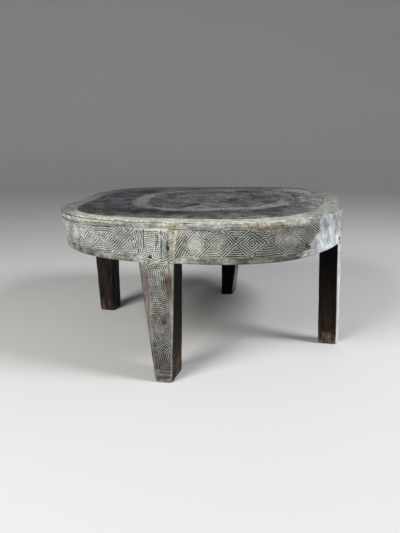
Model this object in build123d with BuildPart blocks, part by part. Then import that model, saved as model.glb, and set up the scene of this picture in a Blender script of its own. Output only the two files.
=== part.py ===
from build123d import *
import math
import os

# ---------------------------------------------------------------------------
# Drum table: a hollowed hardwood drum ring with a cross-cut top panel let
# into it, standing on four hewn legs.  Each leg has a stout tenon that goes up
# into a mortise in the underside of the ring and is held there by two pegs
# driven through the ring's wall.
#
# Units are millimetres.  +X is the long way across the top, +Z is up, and the
# origin is on the floor under the middle of the top.
# ---------------------------------------------------------------------------

# ---- driving dimensions ----------------------------------------------------
TABLE_H = 420.0            # floor to the top of the pale border
RIM_Z = 317.0              # underside of the drum ring
RIM_H = TABLE_H - RIM_Z    # height of the carved band
LEDGE_W = 24.0             # width of the ledge that the panel rests on
WALL_T = 32.0              # wood left between the mortises and the outside
TENON_T = 30.0             # thickness of a full leg tenon
TENON_H = 58.0             # how far the tenons go up into the ring
PEG_PAST = 6.0             # how far the pegs go on past the tenon
PANEL_T = 30.0             # thickness of the cross-cut panel
PANEL_TOP = 418.0          # the panel is worn 2 mm below the border
PANEL_Z = PANEL_TOP - PANEL_T
PANEL_GAP = 1.0            # shrinkage gap round the panel
TOP_ROUND = 6.0            # worn rounding of the upper rim
BOTTOM_ROUND = 4.0         # eased lower rim
LEG_EASE = 3.5             # worn long corners and foot edges of the legs
SHOULDER = 2.0             # least shoulder round each leg's tenon
LEG_BULGE_TOP = 2.2        # the legs' outer faces follow the ring's curve
LEG_BULGE_FOOT = 0.8
PEG_D = 8.0                # pegs that hold the leg tenons
PEG_LOW_Z = 332.0          # the two pegs of a leg are staggered
PEG_HIGH_Z = 355.0
PEG_LOW_AT = 0.33          # and stand this far across the leg's outer face,
PEG_HIGH_AT = 0.82         # from its left edge, as a share of its width
PEG_START = 12.0           # peg holes are cut from this far outside
PANEL_PEG_D = 10.0         # pegs driven up through the ring into the panel
PANEL_PEG_BITE = 18.0      # how far they enter the panel

# Plan outline of the ring: radius from the origin every 15 degrees, starting
# on +X and going anticlockwise.  The log it came from is a rounded, slightly
# lopsided square.
TOP_R = [408.0, 446.0, 491.0, 517.0, 477.0, 424.0, 407.5, 422.0,
         457.0, 471.0, 450.0, 429.0, 423.5, 449.0, 470.0, 460.0,
         436.0, 414.0, 415.0, 419.0, 416.0, 404.0, 401.0, 401.5]
# The ring draws in a little towards its underside, most of all at the left.
DRAW_IN = [3.0, 4.0, 4.0, 4.0, 3.0, 1.0, 1.0, 2.0,
           4.0, 5.0, 2.0, -1.0, 4.0, 11.0, 19.0, 12.0,
           3.0, 0.0, 0.0, 0.0, 0.0, 0.0, 0.0, -1.0]
# Width of the pale border round the panel, in the same directions.
BORDER_W = [55.0, 55.0, 58.0, 57.0, 50.0, 50.0, 50.0, 52.0,
            54.0, 57.0, 55.0, 50.0, 49.0, 48.0, 47.0, 47.0,
            55.0, 59.0, 62.0, 63.0, 59.0, 56.0, 62.0, 63.0]
# Small shift that puts the origin under the middle of the finished outline.
CENTRE = (-0.25, 0.6)

# Legs.  Corners are listed outer-left, outer-right, inner-right, inner-left
# as seen from outside the table, first at the floor, then under the ring.
LEGS = {
    "leg_front": {
        "foot": [(-152, -396), (-106, -404), (-83, -325), (-126, -317)],
        "top": [(-187, -386), (-97, -402), (-79, -325), (-165, -309)],
    },
    "leg_right": {
        "foot": [(380, -160), (398, -119), (343, -107), (325, -148)],
        "top": [(359, -178), (381, -138), (329, -123), (307, -163)],
    },
    "leg_back": {
        "foot": [(115, 404), (71, 406), (49, 336), (93, 331)],
        "top": [(147, 406), (70, 403), (47, 338), (125, 322)],
    },
    "leg_left": {
        "foot": [(-380, 217), (-399, 154), (-349, 143), (-330, 204)],
        "top": [(-391, 217), (-410, 142), (-351, 131), (-330, 204)],
    },
}
# Directions (degrees) of the pegs under the panel, clear of the tenons.
PANEL_PEG_AT = [8, 40, 100, 128, 186, 216, 276, 310]


# ---- plan helpers ----------------------------------------------------------
def outline(inset=0.0, draw=0.0):
    """Points of the ring's outline, set in along its own normal by inset, one
    number or one for each direction.  draw is 0 at the top of the ring and 1
    at its underside."""
    n = len(TOP_R)
    insets = inset if isinstance(inset, list) else [inset] * n
    base = []
    for i in range(n):
        a = math.radians(360.0 * i / n)
        r = TOP_R[i] - draw * DRAW_IN[i]
        base.append((r * math.cos(a) + CENTRE[0], r * math.sin(a) + CENTRE[1]))
    pts = []
    for i in range(n):
        (x0, y0), (x1, y1) = base[i - 1], base[(i + 1) % n]
        tx, ty = x1 - x0, y1 - y0
        length = math.hypot(tx, ty)
        nx, ny = ty / length, -tx / length      # outward normal
        x, y = base[i]
        pts.append((x - insets[i] * nx, y - insets[i] * ny))
    return pts


def inside_border(extra):
    """The border's inner edge, moved further in by extra."""
    return outline([w + extra for w in BORDER_W])


def along(p, q, t):
    return (p[0] + (q[0] - p[0]) * t, p[1] + (q[1] - p[1]) * t)


def unit(p, q):
    dx, dy = q[0] - p[0], q[1] - p[1]
    length = math.hypot(dx, dy)
    return (dx / length, dy / length)


def inward(leg):
    """Unit vector from the leg's outer face towards the table's middle."""
    ol, orr, ir, il = leg["top"]
    return unit(along(ol, orr, 0.5), along(il, ir, 0.5))


def step(p, q, d):
    """The point d millimetres from p towards q."""
    dx, dy = unit(p, q)
    return (p[0] + d * dx, p[1] + d * dy)


def tenon_t(leg):
    """Thickness of a leg's tenon: less on the thinner legs."""
    ol, orr, ir, il = leg["top"]
    a, b = along(ol, orr, 0.5), along(il, ir, 0.5)
    depth = math.hypot(b[0] - a[0], b[1] - a[1])
    return min(TENON_T, depth - WALL_T - SHOULDER)


def tenon_corners(leg):
    """Plan of a leg's tenon, WALL_T behind the leg's outer face."""
    ol, orr, ir, il = leg["top"]
    a, b = step(ol, orr, SHOULDER), step(orr, ol, SHOULDER)
    c, d = step(ir, il, SHOULDER), step(il, ir, SHOULDER)
    back = WALL_T + tenon_t(leg)
    return [step(a, d, WALL_T), step(b, c, WALL_T), step(b, c, back), step(a, d, back)]


def peg_reach(leg):
    """Length of a peg hole from its plane, PEG_START outside the leg's face."""
    return PEG_START + WALL_T + tenon_t(leg) + PEG_PAST


def peg_planes(leg):
    """Planes of a leg's two pegs: origins just outside the ring, facing in."""
    ol, orr, _, _ = leg["top"]
    dx, dy = inward(leg)
    planes = []
    for t, z in ((PEG_LOW_AT, PEG_LOW_Z), (PEG_HIGH_AT, PEG_HIGH_Z)):
        x, y = along(ol, orr, t)
        planes.append(Plane(origin=(x - PEG_START * dx, y - PEG_START * dy, z), z_dir=(dx, dy, 0)))
    return planes


def panel_peg_spots():
    """Plan positions of the pegs that hold the panel."""
    ring = inside_border(LEDGE_W / 2)
    n = len(ring)
    spots = []
    for deg in PANEL_PEG_AT:
        f = deg / 360.0 * n
        i = int(f)
        spots.append(along(ring[i], ring[(i + 1) % n], f - i))
    return spots


# ---- the ring's outer shape, before it is hollowed -------------------------
with BuildPart() as drum_blank:
    with BuildSketch(Plane.XY.offset(RIM_Z)):
        with BuildLine():
            Spline(*outline(0.0, 1.0), periodic=True)
        make_face()
    with BuildSketch(Plane.XY.offset(TABLE_H)):
        with BuildLine():
            Spline(*outline(0.0, 0.0), periodic=True)
        make_face()
    loft()
    fillet(drum_blank.edges().group_by(Axis.Z)[-1], radius=TOP_ROUND)
    fillet(drum_blank.edges().group_by(Axis.Z)[0], radius=BOTTOM_ROUND)

# ---- drum_shell: the hollowed ring -----------------------------------------
with BuildPart() as drum_shell:
    add(drum_blank.part)
    # rebate that the panel drops into
    with BuildSketch(Plane.XY.offset(PANEL_Z)):
        with BuildLine():
            Spline(*inside_border(0.0), periodic=True)
        make_face()
    extrude(amount=TABLE_H - PANEL_Z, mode=Mode.SUBTRACT)
    # hollow of the ring, leaving a ledge under the panel's edge
    with BuildSketch(Plane.XY.offset(RIM_Z)):
        with BuildLine():
            Spline(*inside_border(LEDGE_W), periodic=True)
        make_face()
    extrude(amount=PANEL_Z - RIM_Z, mode=Mode.SUBTRACT)
    for leg in LEGS.values():
        # mortise for the leg's tenon
        with BuildSketch(Plane.XY.offset(RIM_Z)):
            with BuildLine():
                Polyline(*tenon_corners(leg), close=True)
            make_face()
        extrude(amount=TENON_H, mode=Mode.SUBTRACT)
        # peg holes through the wall
        for plane in peg_planes(leg):
            with BuildSketch(plane):
                Circle(PEG_D / 2)
            extrude(amount=peg_reach(leg), mode=Mode.SUBTRACT)
    # peg holes up through the ledge from below
    with BuildSketch(Plane.XY.offset(RIM_Z)):
        with Locations(*panel_peg_spots()):
            Circle(PANEL_PEG_D / 2)
    extrude(amount=PANEL_Z - RIM_Z, mode=Mode.SUBTRACT)
drum_shell.part.label = "drum_shell"

# ---- top_panel: the cross-cut disc -----------------------------------------
with BuildPart() as top_panel:
    with BuildSketch(Plane.XY.offset(PANEL_Z)):
        with BuildLine():
            Spline(*inside_border(PANEL_GAP), periodic=True)
        make_face()
    extrude(amount=PANEL_T)
    fillet(top_panel.edges().group_by(Axis.Z)[-1], radius=2.0)
    with BuildSketch(Plane.XY.offset(PANEL_Z)):
        with Locations(*panel_peg_spots()):
            Circle(PANEL_PEG_D / 2)
    extrude(amount=PANEL_PEG_BITE, mode=Mode.SUBTRACT)
top_panel.part.label = "top_panel"


# ---- legs --------------------------------------------------------------------
def leg_section(corners, bulge):
    """Four-sided section whose outer side bows out by bulge."""
    ol, orr, ir, il = corners
    mx, my = along(ol, orr, 0.5)
    ux, uy = unit(along(il, ir, 0.5), (mx, my))
    ThreePointArc(ol, (mx + bulge * ux, my + bulge * uy), orr)
    Polyline(orr, ir, il, ol)


def make_leg(leg):
    with BuildPart() as body:
        with BuildSketch(Plane.XY):
            with BuildLine():
                leg_section(leg["foot"], LEG_BULGE_FOOT)
            make_face()
        with BuildSketch(Plane.XY.offset(RIM_Z)):
            with BuildLine():
                leg_section(leg["top"], LEG_BULGE_TOP)
            make_face()
        loft(ruled=True)
        # worn long corners and foot
        upright = [e for e in body.edges() if e.bounding_box().size.Z > RIM_Z * 0.9]
        fillet(upright + body.edges().group_by(Axis.Z)[0], radius=LEG_EASE)
        # tenon that goes up into the ring
        with BuildSketch(Plane.XY.offset(RIM_Z)):
            with BuildLine():
                Polyline(*tenon_corners(leg), close=True)
            make_face()
        extrude(amount=TENON_H)
        for plane in peg_planes(leg):
            with BuildSketch(plane):
                Circle(PEG_D / 2)
            extrude(amount=peg_reach(leg), mode=Mode.SUBTRACT)
    return body


def make_pegs(leg):
    with BuildPart() as pegs:
        for plane in peg_planes(leg):
            with BuildSketch(plane):
                Circle(PEG_D / 2)
            extrude(amount=peg_reach(leg))
        # trimmed flush with the outside of the ring
        add(drum_blank.part, mode=Mode.INTERSECT)
    return pegs


leg_front = make_leg(LEGS["leg_front"])
leg_front.part.label = "leg_front"
leg_right = make_leg(LEGS["leg_right"])
leg_right.part.label = "leg_right"
leg_back = make_leg(LEGS["leg_back"])
leg_back.part.label = "leg_back"
leg_left = make_leg(LEGS["leg_left"])
leg_left.part.label = "leg_left"

leg_front_pegs = make_pegs(LEGS["leg_front"])
leg_front_pegs.part.label = "leg_front_pegs"
leg_right_pegs = make_pegs(LEGS["leg_right"])
leg_right_pegs.part.label = "leg_right_pegs"
leg_back_pegs = make_pegs(LEGS["leg_back"])
leg_back_pegs.part.label = "leg_back_pegs"
leg_left_pegs = make_pegs(LEGS["leg_left"])
leg_left_pegs.part.label = "leg_left_pegs"

# ---- pegs that hold the panel down ------------------------------------------
with BuildPart() as panel_pegs:
    with BuildSketch(Plane.XY.offset(RIM_Z)):
        with Locations(*panel_peg_spots()):
            Circle(PANEL_PEG_D / 2)
    extrude(amount=PANEL_Z - RIM_Z + PANEL_PEG_BITE)
panel_pegs.part.label = "panel_pegs"

# ---- write the pieces --------------------------------------------------------
os.makedirs("parts", exist_ok=True)
export_step(drum_shell.part, "parts/drum_shell.step")
export_step(top_panel.part, "parts/top_panel.step")
export_step(leg_front.part, "parts/leg_front.step")
export_step(leg_right.part, "parts/leg_right.step")
export_step(leg_back.part, "parts/leg_back.step")
export_step(leg_left.part, "parts/leg_left.step")
export_step(leg_front_pegs.part, "parts/leg_front_pegs.step")
export_step(leg_right_pegs.part, "parts/leg_right_pegs.step")
export_step(leg_back_pegs.part, "parts/leg_back_pegs.step")
export_step(leg_left_pegs.part, "parts/leg_left_pegs.step")
export_step(panel_pegs.part, "parts/panel_pegs.step")
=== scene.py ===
import math

import bpy
import numpy as np
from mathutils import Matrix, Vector


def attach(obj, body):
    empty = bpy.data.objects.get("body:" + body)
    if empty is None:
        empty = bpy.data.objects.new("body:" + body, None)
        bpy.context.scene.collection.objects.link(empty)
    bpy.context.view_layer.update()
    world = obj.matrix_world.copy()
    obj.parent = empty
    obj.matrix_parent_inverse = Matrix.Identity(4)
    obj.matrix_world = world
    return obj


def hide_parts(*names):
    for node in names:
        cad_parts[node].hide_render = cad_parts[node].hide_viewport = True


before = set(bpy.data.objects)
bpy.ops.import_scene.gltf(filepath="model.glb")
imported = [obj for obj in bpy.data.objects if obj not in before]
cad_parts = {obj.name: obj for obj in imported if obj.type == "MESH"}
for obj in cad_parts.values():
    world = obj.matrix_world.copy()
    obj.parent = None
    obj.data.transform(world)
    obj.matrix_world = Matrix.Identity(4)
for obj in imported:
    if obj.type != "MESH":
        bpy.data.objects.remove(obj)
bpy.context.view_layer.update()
scene = bpy.context.scene
MM = 0.001

# ---- camera ------------------------------------------------------------------
cam_data = bpy.data.cameras.new("camera")
camera = bpy.data.objects.new("camera", cam_data)
scene.collection.objects.link(camera)
camera.location = (-0.035, -1.572, 0.622)
camera.rotation_euler = (math.radians(90 - 14.88), 0, 0)
cam_data.sensor_width = 36.0
cam_data.lens = 500.0 / 533.0 * 36.0
cam_data.clip_start, cam_data.clip_end = 0.02, 60.0
scene.camera = camera

# ---- sizes, in millimetres, as in the CAD ------------------------------------
TOP_Z, RIM_Z, PANEL_Z, PANEL_TOP = 420.0, 317.0, 388.0, 418.0
LEDGE_W, PANEL_GAP, TOP_ROUND, BOTTOM_ROUND, LEG_EASE = 24.0, 1.0, 6.0, 4.0, 3.5
TOP_R = [408.0, 446.0, 491.0, 517.0, 477.0, 424.0, 407.5, 422.0,
         457.0, 471.0, 450.0, 429.0, 423.5, 449.0, 470.0, 460.0,
         436.0, 414.0, 415.0, 419.0, 416.0, 404.0, 401.0, 401.5]
DRAW_IN = [3.0, 4.0, 4.0, 4.0, 3.0, 1.0, 1.0, 2.0,
           4.0, 5.0, 2.0, -1.0, 4.0, 11.0, 19.0, 12.0,
           3.0, 0.0, 0.0, 0.0, 0.0, 0.0, 0.0, -1.0]
BORDER_W = [55.0, 55.0, 58.0, 57.0, 50.0, 50.0, 50.0, 52.0,
            54.0, 57.0, 55.0, 50.0, 49.0, 48.0, 47.0, 47.0,
            55.0, 59.0, 62.0, 63.0, 59.0, 56.0, 62.0, 63.0]
CENTRE = (-0.25, 0.6)
LEGS = {
    "leg_front": ([(-152, -396), (-106, -404), (-83, -325), (-126, -317)],
                  [(-187, -386), (-97, -402), (-79, -325), (-165, -309)]),
    "leg_right": ([(380, -160), (398, -119), (343, -107), (325, -148)],
                  [(359, -178), (381, -138), (329, -123), (307, -163)]),
    "leg_back": ([(115, 404), (71, 406), (49, 336), (93, 331)],
                 [(147, 406), (70, 403), (47, 338), (125, 322)]),
    "leg_left": ([(-380, 217), (-399, 154), (-349, 143), (-330, 204)],
                 [(-391, 217), (-410, 142), (-351, 131), (-330, 204)]),
}
PEG_SPOTS = ((0.33, 332.0), (0.82, 355.0))


# ---- noise and small helpers ---------------------------------------------------
def smooth(a, b, x):
    t = np.clip((x - a) / (b - a), 0.0, 1.0)
    return t * t * (3.0 - 2.0 * t)


def spot(x, a, b, w):
    """1 between a and b, fading to 0 over w outside them."""
    return smooth(a - w, a, x) * (1.0 - smooth(b, b + w, x))


def lattice(ix, iy, seed):
    h = (ix.astype(np.int64) * 374761393 + iy.astype(np.int64) * 668265263 + seed * 974711) & 0xFFFFFFFF
    h = ((h ^ (h >> 13)) * 1274126177) & 0xFFFFFFFF
    return ((h ^ (h >> 16)) & 0xFFFFFF) / float(0xFFFFFF)


def noise(x, y, seed, wrap=0):
    """Smooth value noise from 0 to 1. wrap makes it repeat after that many cells of x."""
    x, y = np.broadcast_arrays(np.asarray(x, float), np.asarray(y, float))
    ix, iy = np.floor(x), np.floor(y)
    fx, fy = x - ix, y - iy
    fx, fy = fx * fx * (3 - 2 * fx), fy * fy * (3 - 2 * fy)
    jx = ix + 1
    if wrap:
        ix, jx = np.mod(ix, wrap), np.mod(jx, wrap)
    a, b = lattice(ix, iy, seed), lattice(jx, iy, seed)
    c, d = lattice(ix, iy + 1, seed), lattice(jx, iy + 1, seed)
    return (a * (1 - fx) + b * fx) * (1 - fy) + (c * (1 - fx) + d * fx) * fy


def fractal(x, y, seed, octaves=3):
    total, amount, weight = 0.0, 0.0, 1.0
    for k in range(octaves):
        total = total + weight * noise(x * 2 ** k, y * 2 ** k, seed + 17 * k)
        amount += weight
        weight *= 0.5
    return total / amount


def groove(x, pitch, width=0.5):
    """Section of parallel cut lines: 1 on a groove's floor, 0 on the ridge between two."""
    f = np.abs(x / pitch - np.floor(x / pitch) - 0.5) * 2.0
    return 1.0 - smooth(width - 0.26, width + 0.22, f)


# ---- the ring's outlines --------------------------------------------------------
def outline(inset=0.0, draw=0.0):
    n = len(TOP_R)
    insets = inset if isinstance(inset, list) else [inset] * n
    base = []
    for i in range(n):
        a = math.radians(360.0 * i / n)
        r = TOP_R[i] - draw * DRAW_IN[i]
        base.append((r * math.cos(a) + CENTRE[0], r * math.sin(a) + CENTRE[1]))
    pts = []
    for i in range(n):
        (x0, y0), (x1, y1) = base[i - 1], base[(i + 1) % n]
        tx, ty = x1 - x0, y1 - y0
        length = math.hypot(tx, ty)
        x, y = base[i]
        pts.append((x - insets[i] * ty / length, y + insets[i] * tx / length))
    return np.array(pts)


def closed_curve(pts, u):
    """The smooth closed curve through pts at u, which counts points."""
    n = len(pts)
    h = np.hypot(*(np.roll(pts, -1, 0) - pts).T)
    m = np.zeros((n, n))
    rhs = np.zeros((n, 2))
    for i in range(n):
        m[i, i - 1] += h[i - 1]
        m[i, i] += 2 * (h[i - 1] + h[i])
        m[i, (i + 1) % n] += h[i]
        rhs[i] = 6 * ((pts[(i + 1) % n] - pts[i]) / h[i] - (pts[i] - pts[i - 1]) / h[i - 1])
    second = np.linalg.solve(m, rhs)
    u = np.mod(u, n)
    i = np.minimum(np.floor(u).astype(int), n - 1)
    b = (u - i)[:, None]
    a = 1 - b
    j = (i + 1) % n
    hi = h[i][:, None]
    return a * pts[i] + b * pts[j] + ((a ** 3 - a) * second[i] + (b ** 3 - b) * second[j]) * hi * hi / 6


def border_inner(extra):
    return outline([w + extra for w in BORDER_W])


dense_u = np.linspace(0, 24, 9601)
dense = closed_curve(outline(), dense_u)
dense_s = np.concatenate([[0], np.cumsum(np.hypot(*np.diff(dense, axis=0).T))])
PERIMETER = dense_s[-1]
S_FRONT = np.interp(18.0, dense_u, dense_s)


def u_at(s):
    """Curve parameter at arc length s, which is 0 at the front and grows to the right."""
    return np.interp(np.mod(s + S_FRONT, PERIMETER), dense_s, dense_u)


def s_near(x, y):
    k = np.hypot(dense[:, 0] - x, dense[:, 1] - y).argmin()
    s = dense_s[k] - S_FRONT
    return (s + PERIMETER / 2) % PERIMETER - PERIMETER / 2


def ring_noise(s, z, cell_s, cell_z, seed):
    wrap = int(round(PERIMETER / cell_s))
    return noise(s / PERIMETER * wrap, z / cell_z, seed, wrap)


# ---- the carved band ------------------------------------------------------------
MID_Z, BAND_0, BAND_1 = 368.5, 337.0, 400.0
HALF = (BAND_1 - BAND_0) / 2
LINE = 5.3                      # distance between two cut lines, square to them


def even_vertices(a, b, pitch, seed):
    n = max(2, int(round((b - a) / pitch)))
    v = np.linspace(a, b, n + 1)
    v[1:-1] += (lattice(np.arange(1, n), np.zeros(n - 1), seed) - 0.5) * 14
    return v


class Winding:
    """Winding parallel lines that keep one distance apart, as a maze or a fingerprint does."""

    CELL = 0.5

    def __init__(self, x0, x1, z0, z1, pitch, seed, guide=None):
        self.x0, self.z0 = x0, z0
        nx, nz = int((x1 - x0) / self.CELL), int((z1 - z0) / self.CELL)
        x, z = np.meshgrid(x0 + np.arange(nx) * self.CELL, z0 + np.arange(nz) * self.CELL)
        rng = np.random.default_rng(seed)
        f = np.hypot(*np.meshgrid(np.fft.fftfreq(nx, self.CELL), np.fft.fftfreq(nz, self.CELL))) * pitch
        keep = np.exp(-((f - 1.0) / 0.15) ** 2)
        field = rng.standard_normal((nz, nx))
        wanted, early, late = guide(x, z) if guide else (0.0, 0.0, 0.0)
        for step in range(22):
            field = np.real(np.fft.ifft2(np.fft.fft2(field) * keep))
            field = np.tanh(1.6 * field / field.std())
            hold = early if step < 14 else np.maximum(early, late) if step < 20 else 0.0
            field = field * (1 - hold) + wanted * hold
        self.field = field

    def __call__(self, x, z):
        gx = np.clip((x - self.x0) / self.CELL, 0, self.field.shape[1] - 1.001)
        gz = np.clip((z - self.z0) / self.CELL, 0, self.field.shape[0] - 1.001)
        ix, iz = gx.astype(int), gz.astype(int)
        fx, fz = gx - ix, gz - iz
        f = self.field
        v = (f[iz, ix] * (1 - fx) + f[iz, ix + 1] * fx) * (1 - fz) + (f[iz + 1, ix] * (1 - fx) + f[iz + 1, ix + 1] * fx) * fz
        return smooth(-0.35, 0.45, v)


def lozenges(s, z, verts, wavy):
    """Cut depth of a chain of lozenges of nested lines, with lined triangles between."""
    verts = np.asarray(verts, float)
    i = np.clip(np.searchsorted(verts, s, side="right") - 1, 0, len(verts) - 2)
    a, b = verts[i], verts[i + 1]
    centre, half = (a + b) / 2, (b - a) / 2
    q = np.abs(s - centre) / half + np.abs(z - MID_Z) / HALF
    square = HALF / np.hypot(half, HALF)
    pitch = LINE * (0.96 + 0.10 * lattice(i, 0 * i, 6)) * (1 + 0.20 * spot(centre, -520, -330, 50))
    inside = groove((1 - q) * half * square, pitch, 0.56)
    # painted light and shade: lines of one slant are made fainter, in depth and in dark colour, copying how the light
    # falls across them
    slash = (s - centre) * (z - MID_Z) < 0
    inside = inside * np.where(slash | (s > 40), 1.0, 0.88)

    left = s < centre
    k = np.where(left, i - 1, i + 1)
    ok = (k >= 0) & (k < len(verts) - 1)
    kk = np.clip(k, 0, len(verts) - 2)
    c2 = np.where(ok, (verts[kk] + verts[kk + 1]) / 2, np.where(left, 2 * a - centre, 2 * b - centre))
    h2 = np.where(ok, (verts[kk + 1] - verts[kk]) / 2, half)
    q2 = np.abs(s - c2) / h2 + np.abs(z - MID_Z) / HALF
    mine = (q - 1) * half * square
    other = (q2 - 1) * h2 * HALF / np.hypot(h2, HALF)
    to_left = np.where(left, other, mine)       # from the left lozenge's side
    to_right = np.where(left, mine, other)
    near = np.minimum(to_left, to_right)
    low = z < MID_Z
    at = np.where(left, i, i + 1)               # which triangle
    kind = lattice(at, np.where(low, 1, 0), 7)
    flat = groove(z - BAND_0 + 1.2, 5.1, 0.56)
    nested = groove(near, LINE, 0.56)
    from_left, from_right = groove(to_left, LINE, 0.56), groove(to_right, LINE, 0.56)
    bottom = np.where(kind < 0.35, np.where(near < 1.5 * LINE, nested, flat),
                      np.where(kind < 0.65, np.where(to_left < 2.5 * LINE, from_left, flat),
                               np.where(near < 0.5 * LINE, nested, flat)))
    top = np.where(kind < 0.45, np.where(to_right < 1.5 * LINE, from_right, wavy),
                   np.where(kind < 0.75, np.where(near < 0.5 * LINE, nested, np.where(z > 386, flat, wavy)),
                            np.where(near < 1.5 * LINE, nested, flat)))
    return np.where(q <= 1, inside, np.where(low, bottom, top))


leg_s = {k: s_near(*((np.array(t[0]) + np.array(t[1])) / 2)) for k, (f, t) in LEGS.items()}
FRONT_RIGHT_S = s_near(*LEGS["leg_front"][1][1])       # right-hand edge of the front leg, on the rim
LEFT_PANEL = (leg_s["leg_left"] - 52, leg_s["leg_left"] + 52)
BACK_PANEL = (leg_s["leg_back"] - 56, leg_s["leg_back"] + 52)
FRONT_PANEL = (-199.0, -97.0)
SEAM = PERIMETER / 2
CHAIN_LEFT = np.concatenate([even_vertices(LEFT_PANEL[1], -495, 67, 3)[:-1],
                             [-495, -430, -365, -292, -228, -164]])
CHAIN_RIGHT = [-143, -80, -17, 50, 132, 228, 322]
CHAIN_FAR = even_vertices(700, BACK_PANEL[0], 70, 8)
CHAIN_BACK = even_vertices(BACK_PANEL[1] - PERIMETER, LEFT_PANEL[0], 68, 12)


def panel_guide(spiral):
    """Upright lines at both sides of a panel, and a curl. t runs from the panel's right-hand edge."""
    def guide(t, z):
        upright = np.sin(2 * math.pi * (t + 2.5 * np.sin(z / 11.0)) / WIND)
        sides = np.maximum(smooth(82, 85, t), spot(t, 19, 31, 2)) * smooth(334, 344, z)
        x, y = t - spiral[0], z - spiral[1]
        r = np.hypot(x, y)
        curl = np.sin(2 * math.pi * (r / WIND + np.arctan2(y, x) / (2 * math.pi)))
        round_it = 1 - smooth(9, 13, r)
        x2, y2 = t - spiral[0] - 4, z - spiral[1] - 49
        r2 = np.hypot(x2, y2)
        small = np.sin(2 * math.pi * (r2 / WIND + 0.2))
        round_2 = (1 - smooth(7, 11, r2)) * (1 - round_it)
        # nested arcs one above the other down the leg
        wanted, held = 0.0 * t, 0.0 * t
        for k, (ct, cz, size) in enumerate(((44, 292, 15), (40, 262, 13), (36, 222, 11), (30, 186, 12), (34, 150, 10), (26, 112, 11), (24, 76, 10), (20, 48, 8))):
            far = np.hypot(t - ct, (z - cz) * (0.75 + 0.2 * (k % 2)))
            near = 1 - smooth(size * 0.6, size, far)
            wanted = wanted * (1 - near) + near * np.sin(2 * math.pi * (far / WIND + 0.25 * (k % 3)))
            held = np.maximum(held, near)
        wanted = wanted * (1 - sides) + upright * sides
        wanted = wanted * (1 - round_it) * (1 - round_2) + curl * round_it + small * round_2
        return wanted, np.clip(0.8 * held + 0.8 * round_it + 0.8 * round_2, 0, 0.8), 0.7 * sides
    return guide


# the front panel's lines run on down the leg, so both are one pattern
WIND = 5.0
WINDING_FRONT = Winding(-12, 116, 12, 408, WIND, 7, panel_guide((47, 336)))
WINDING_LEFT = Winding(-12, 116, 300, 408, WIND, 8, panel_guide((52, 352)))
WINDING_BACK = Winding(-12, 116, 300, 408, WIND, 9, panel_guide((44, 342)))
WINDING_CHAIN = Winding(-70, 330, 330, 406, 5.2, 10)


def leg_panel(s, z, right, winding):
    """Panel over a leg: upright lines, a winding pattern, upright lines, and a plain strip."""
    t = right - s
    bent_t = t + 3.4 * (noise(t / 8, z / 8, 44) - 0.5)
    bent_z = z + 3.4 * (noise(t / 8, z / 8, 45) - 0.5) * smooth(318, 326, z)
    cut = 0.92 * winding(bent_t * smooth(318, 326, z) + t * (1 - smooth(318, 326, z)), bent_z) * spot(z + 6 * (noise(s / 8, 0 * z, 41) - 0.5), 300, 394.5, 4.0) * smooth(14.0, 15.5, t + 1.5 * noise(z / 6, 0 * z, 42))
    for at, a, b in ((76.5, 352, 399), (32.5, 320, 397)):
        line = np.abs(t - at - 1.6 * (noise(z / 14, 0 * z + at, 43) - 0.5))
        cut = np.maximum(cut, (1 - smooth(0.7, 1.9, line)) * spot(z, a, b, 3))
    # short slanting cuts on the strip beside it
    strip = (1 - smooth(12.0, 14.0, t)) * smooth(0.5, 2.5, t) * spot(z, 322, 396, 4)
    slash = groove(0.5 * t + 0.866 * z, 6.4, 0.42) * smooth(0.30, 0.65, noise(t / 9, z / 8, 46))
    return np.maximum(cut, 0.55 * strip * slash)


def bump_at(s, z, at_s, at_z, w_s, w_z):
    """1 in the middle of an oval spot, 0 outside it."""
    return 1 - smooth(0.35, 1.0, np.hypot((s - at_s) / w_s, (z - at_z) / w_z))


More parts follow.
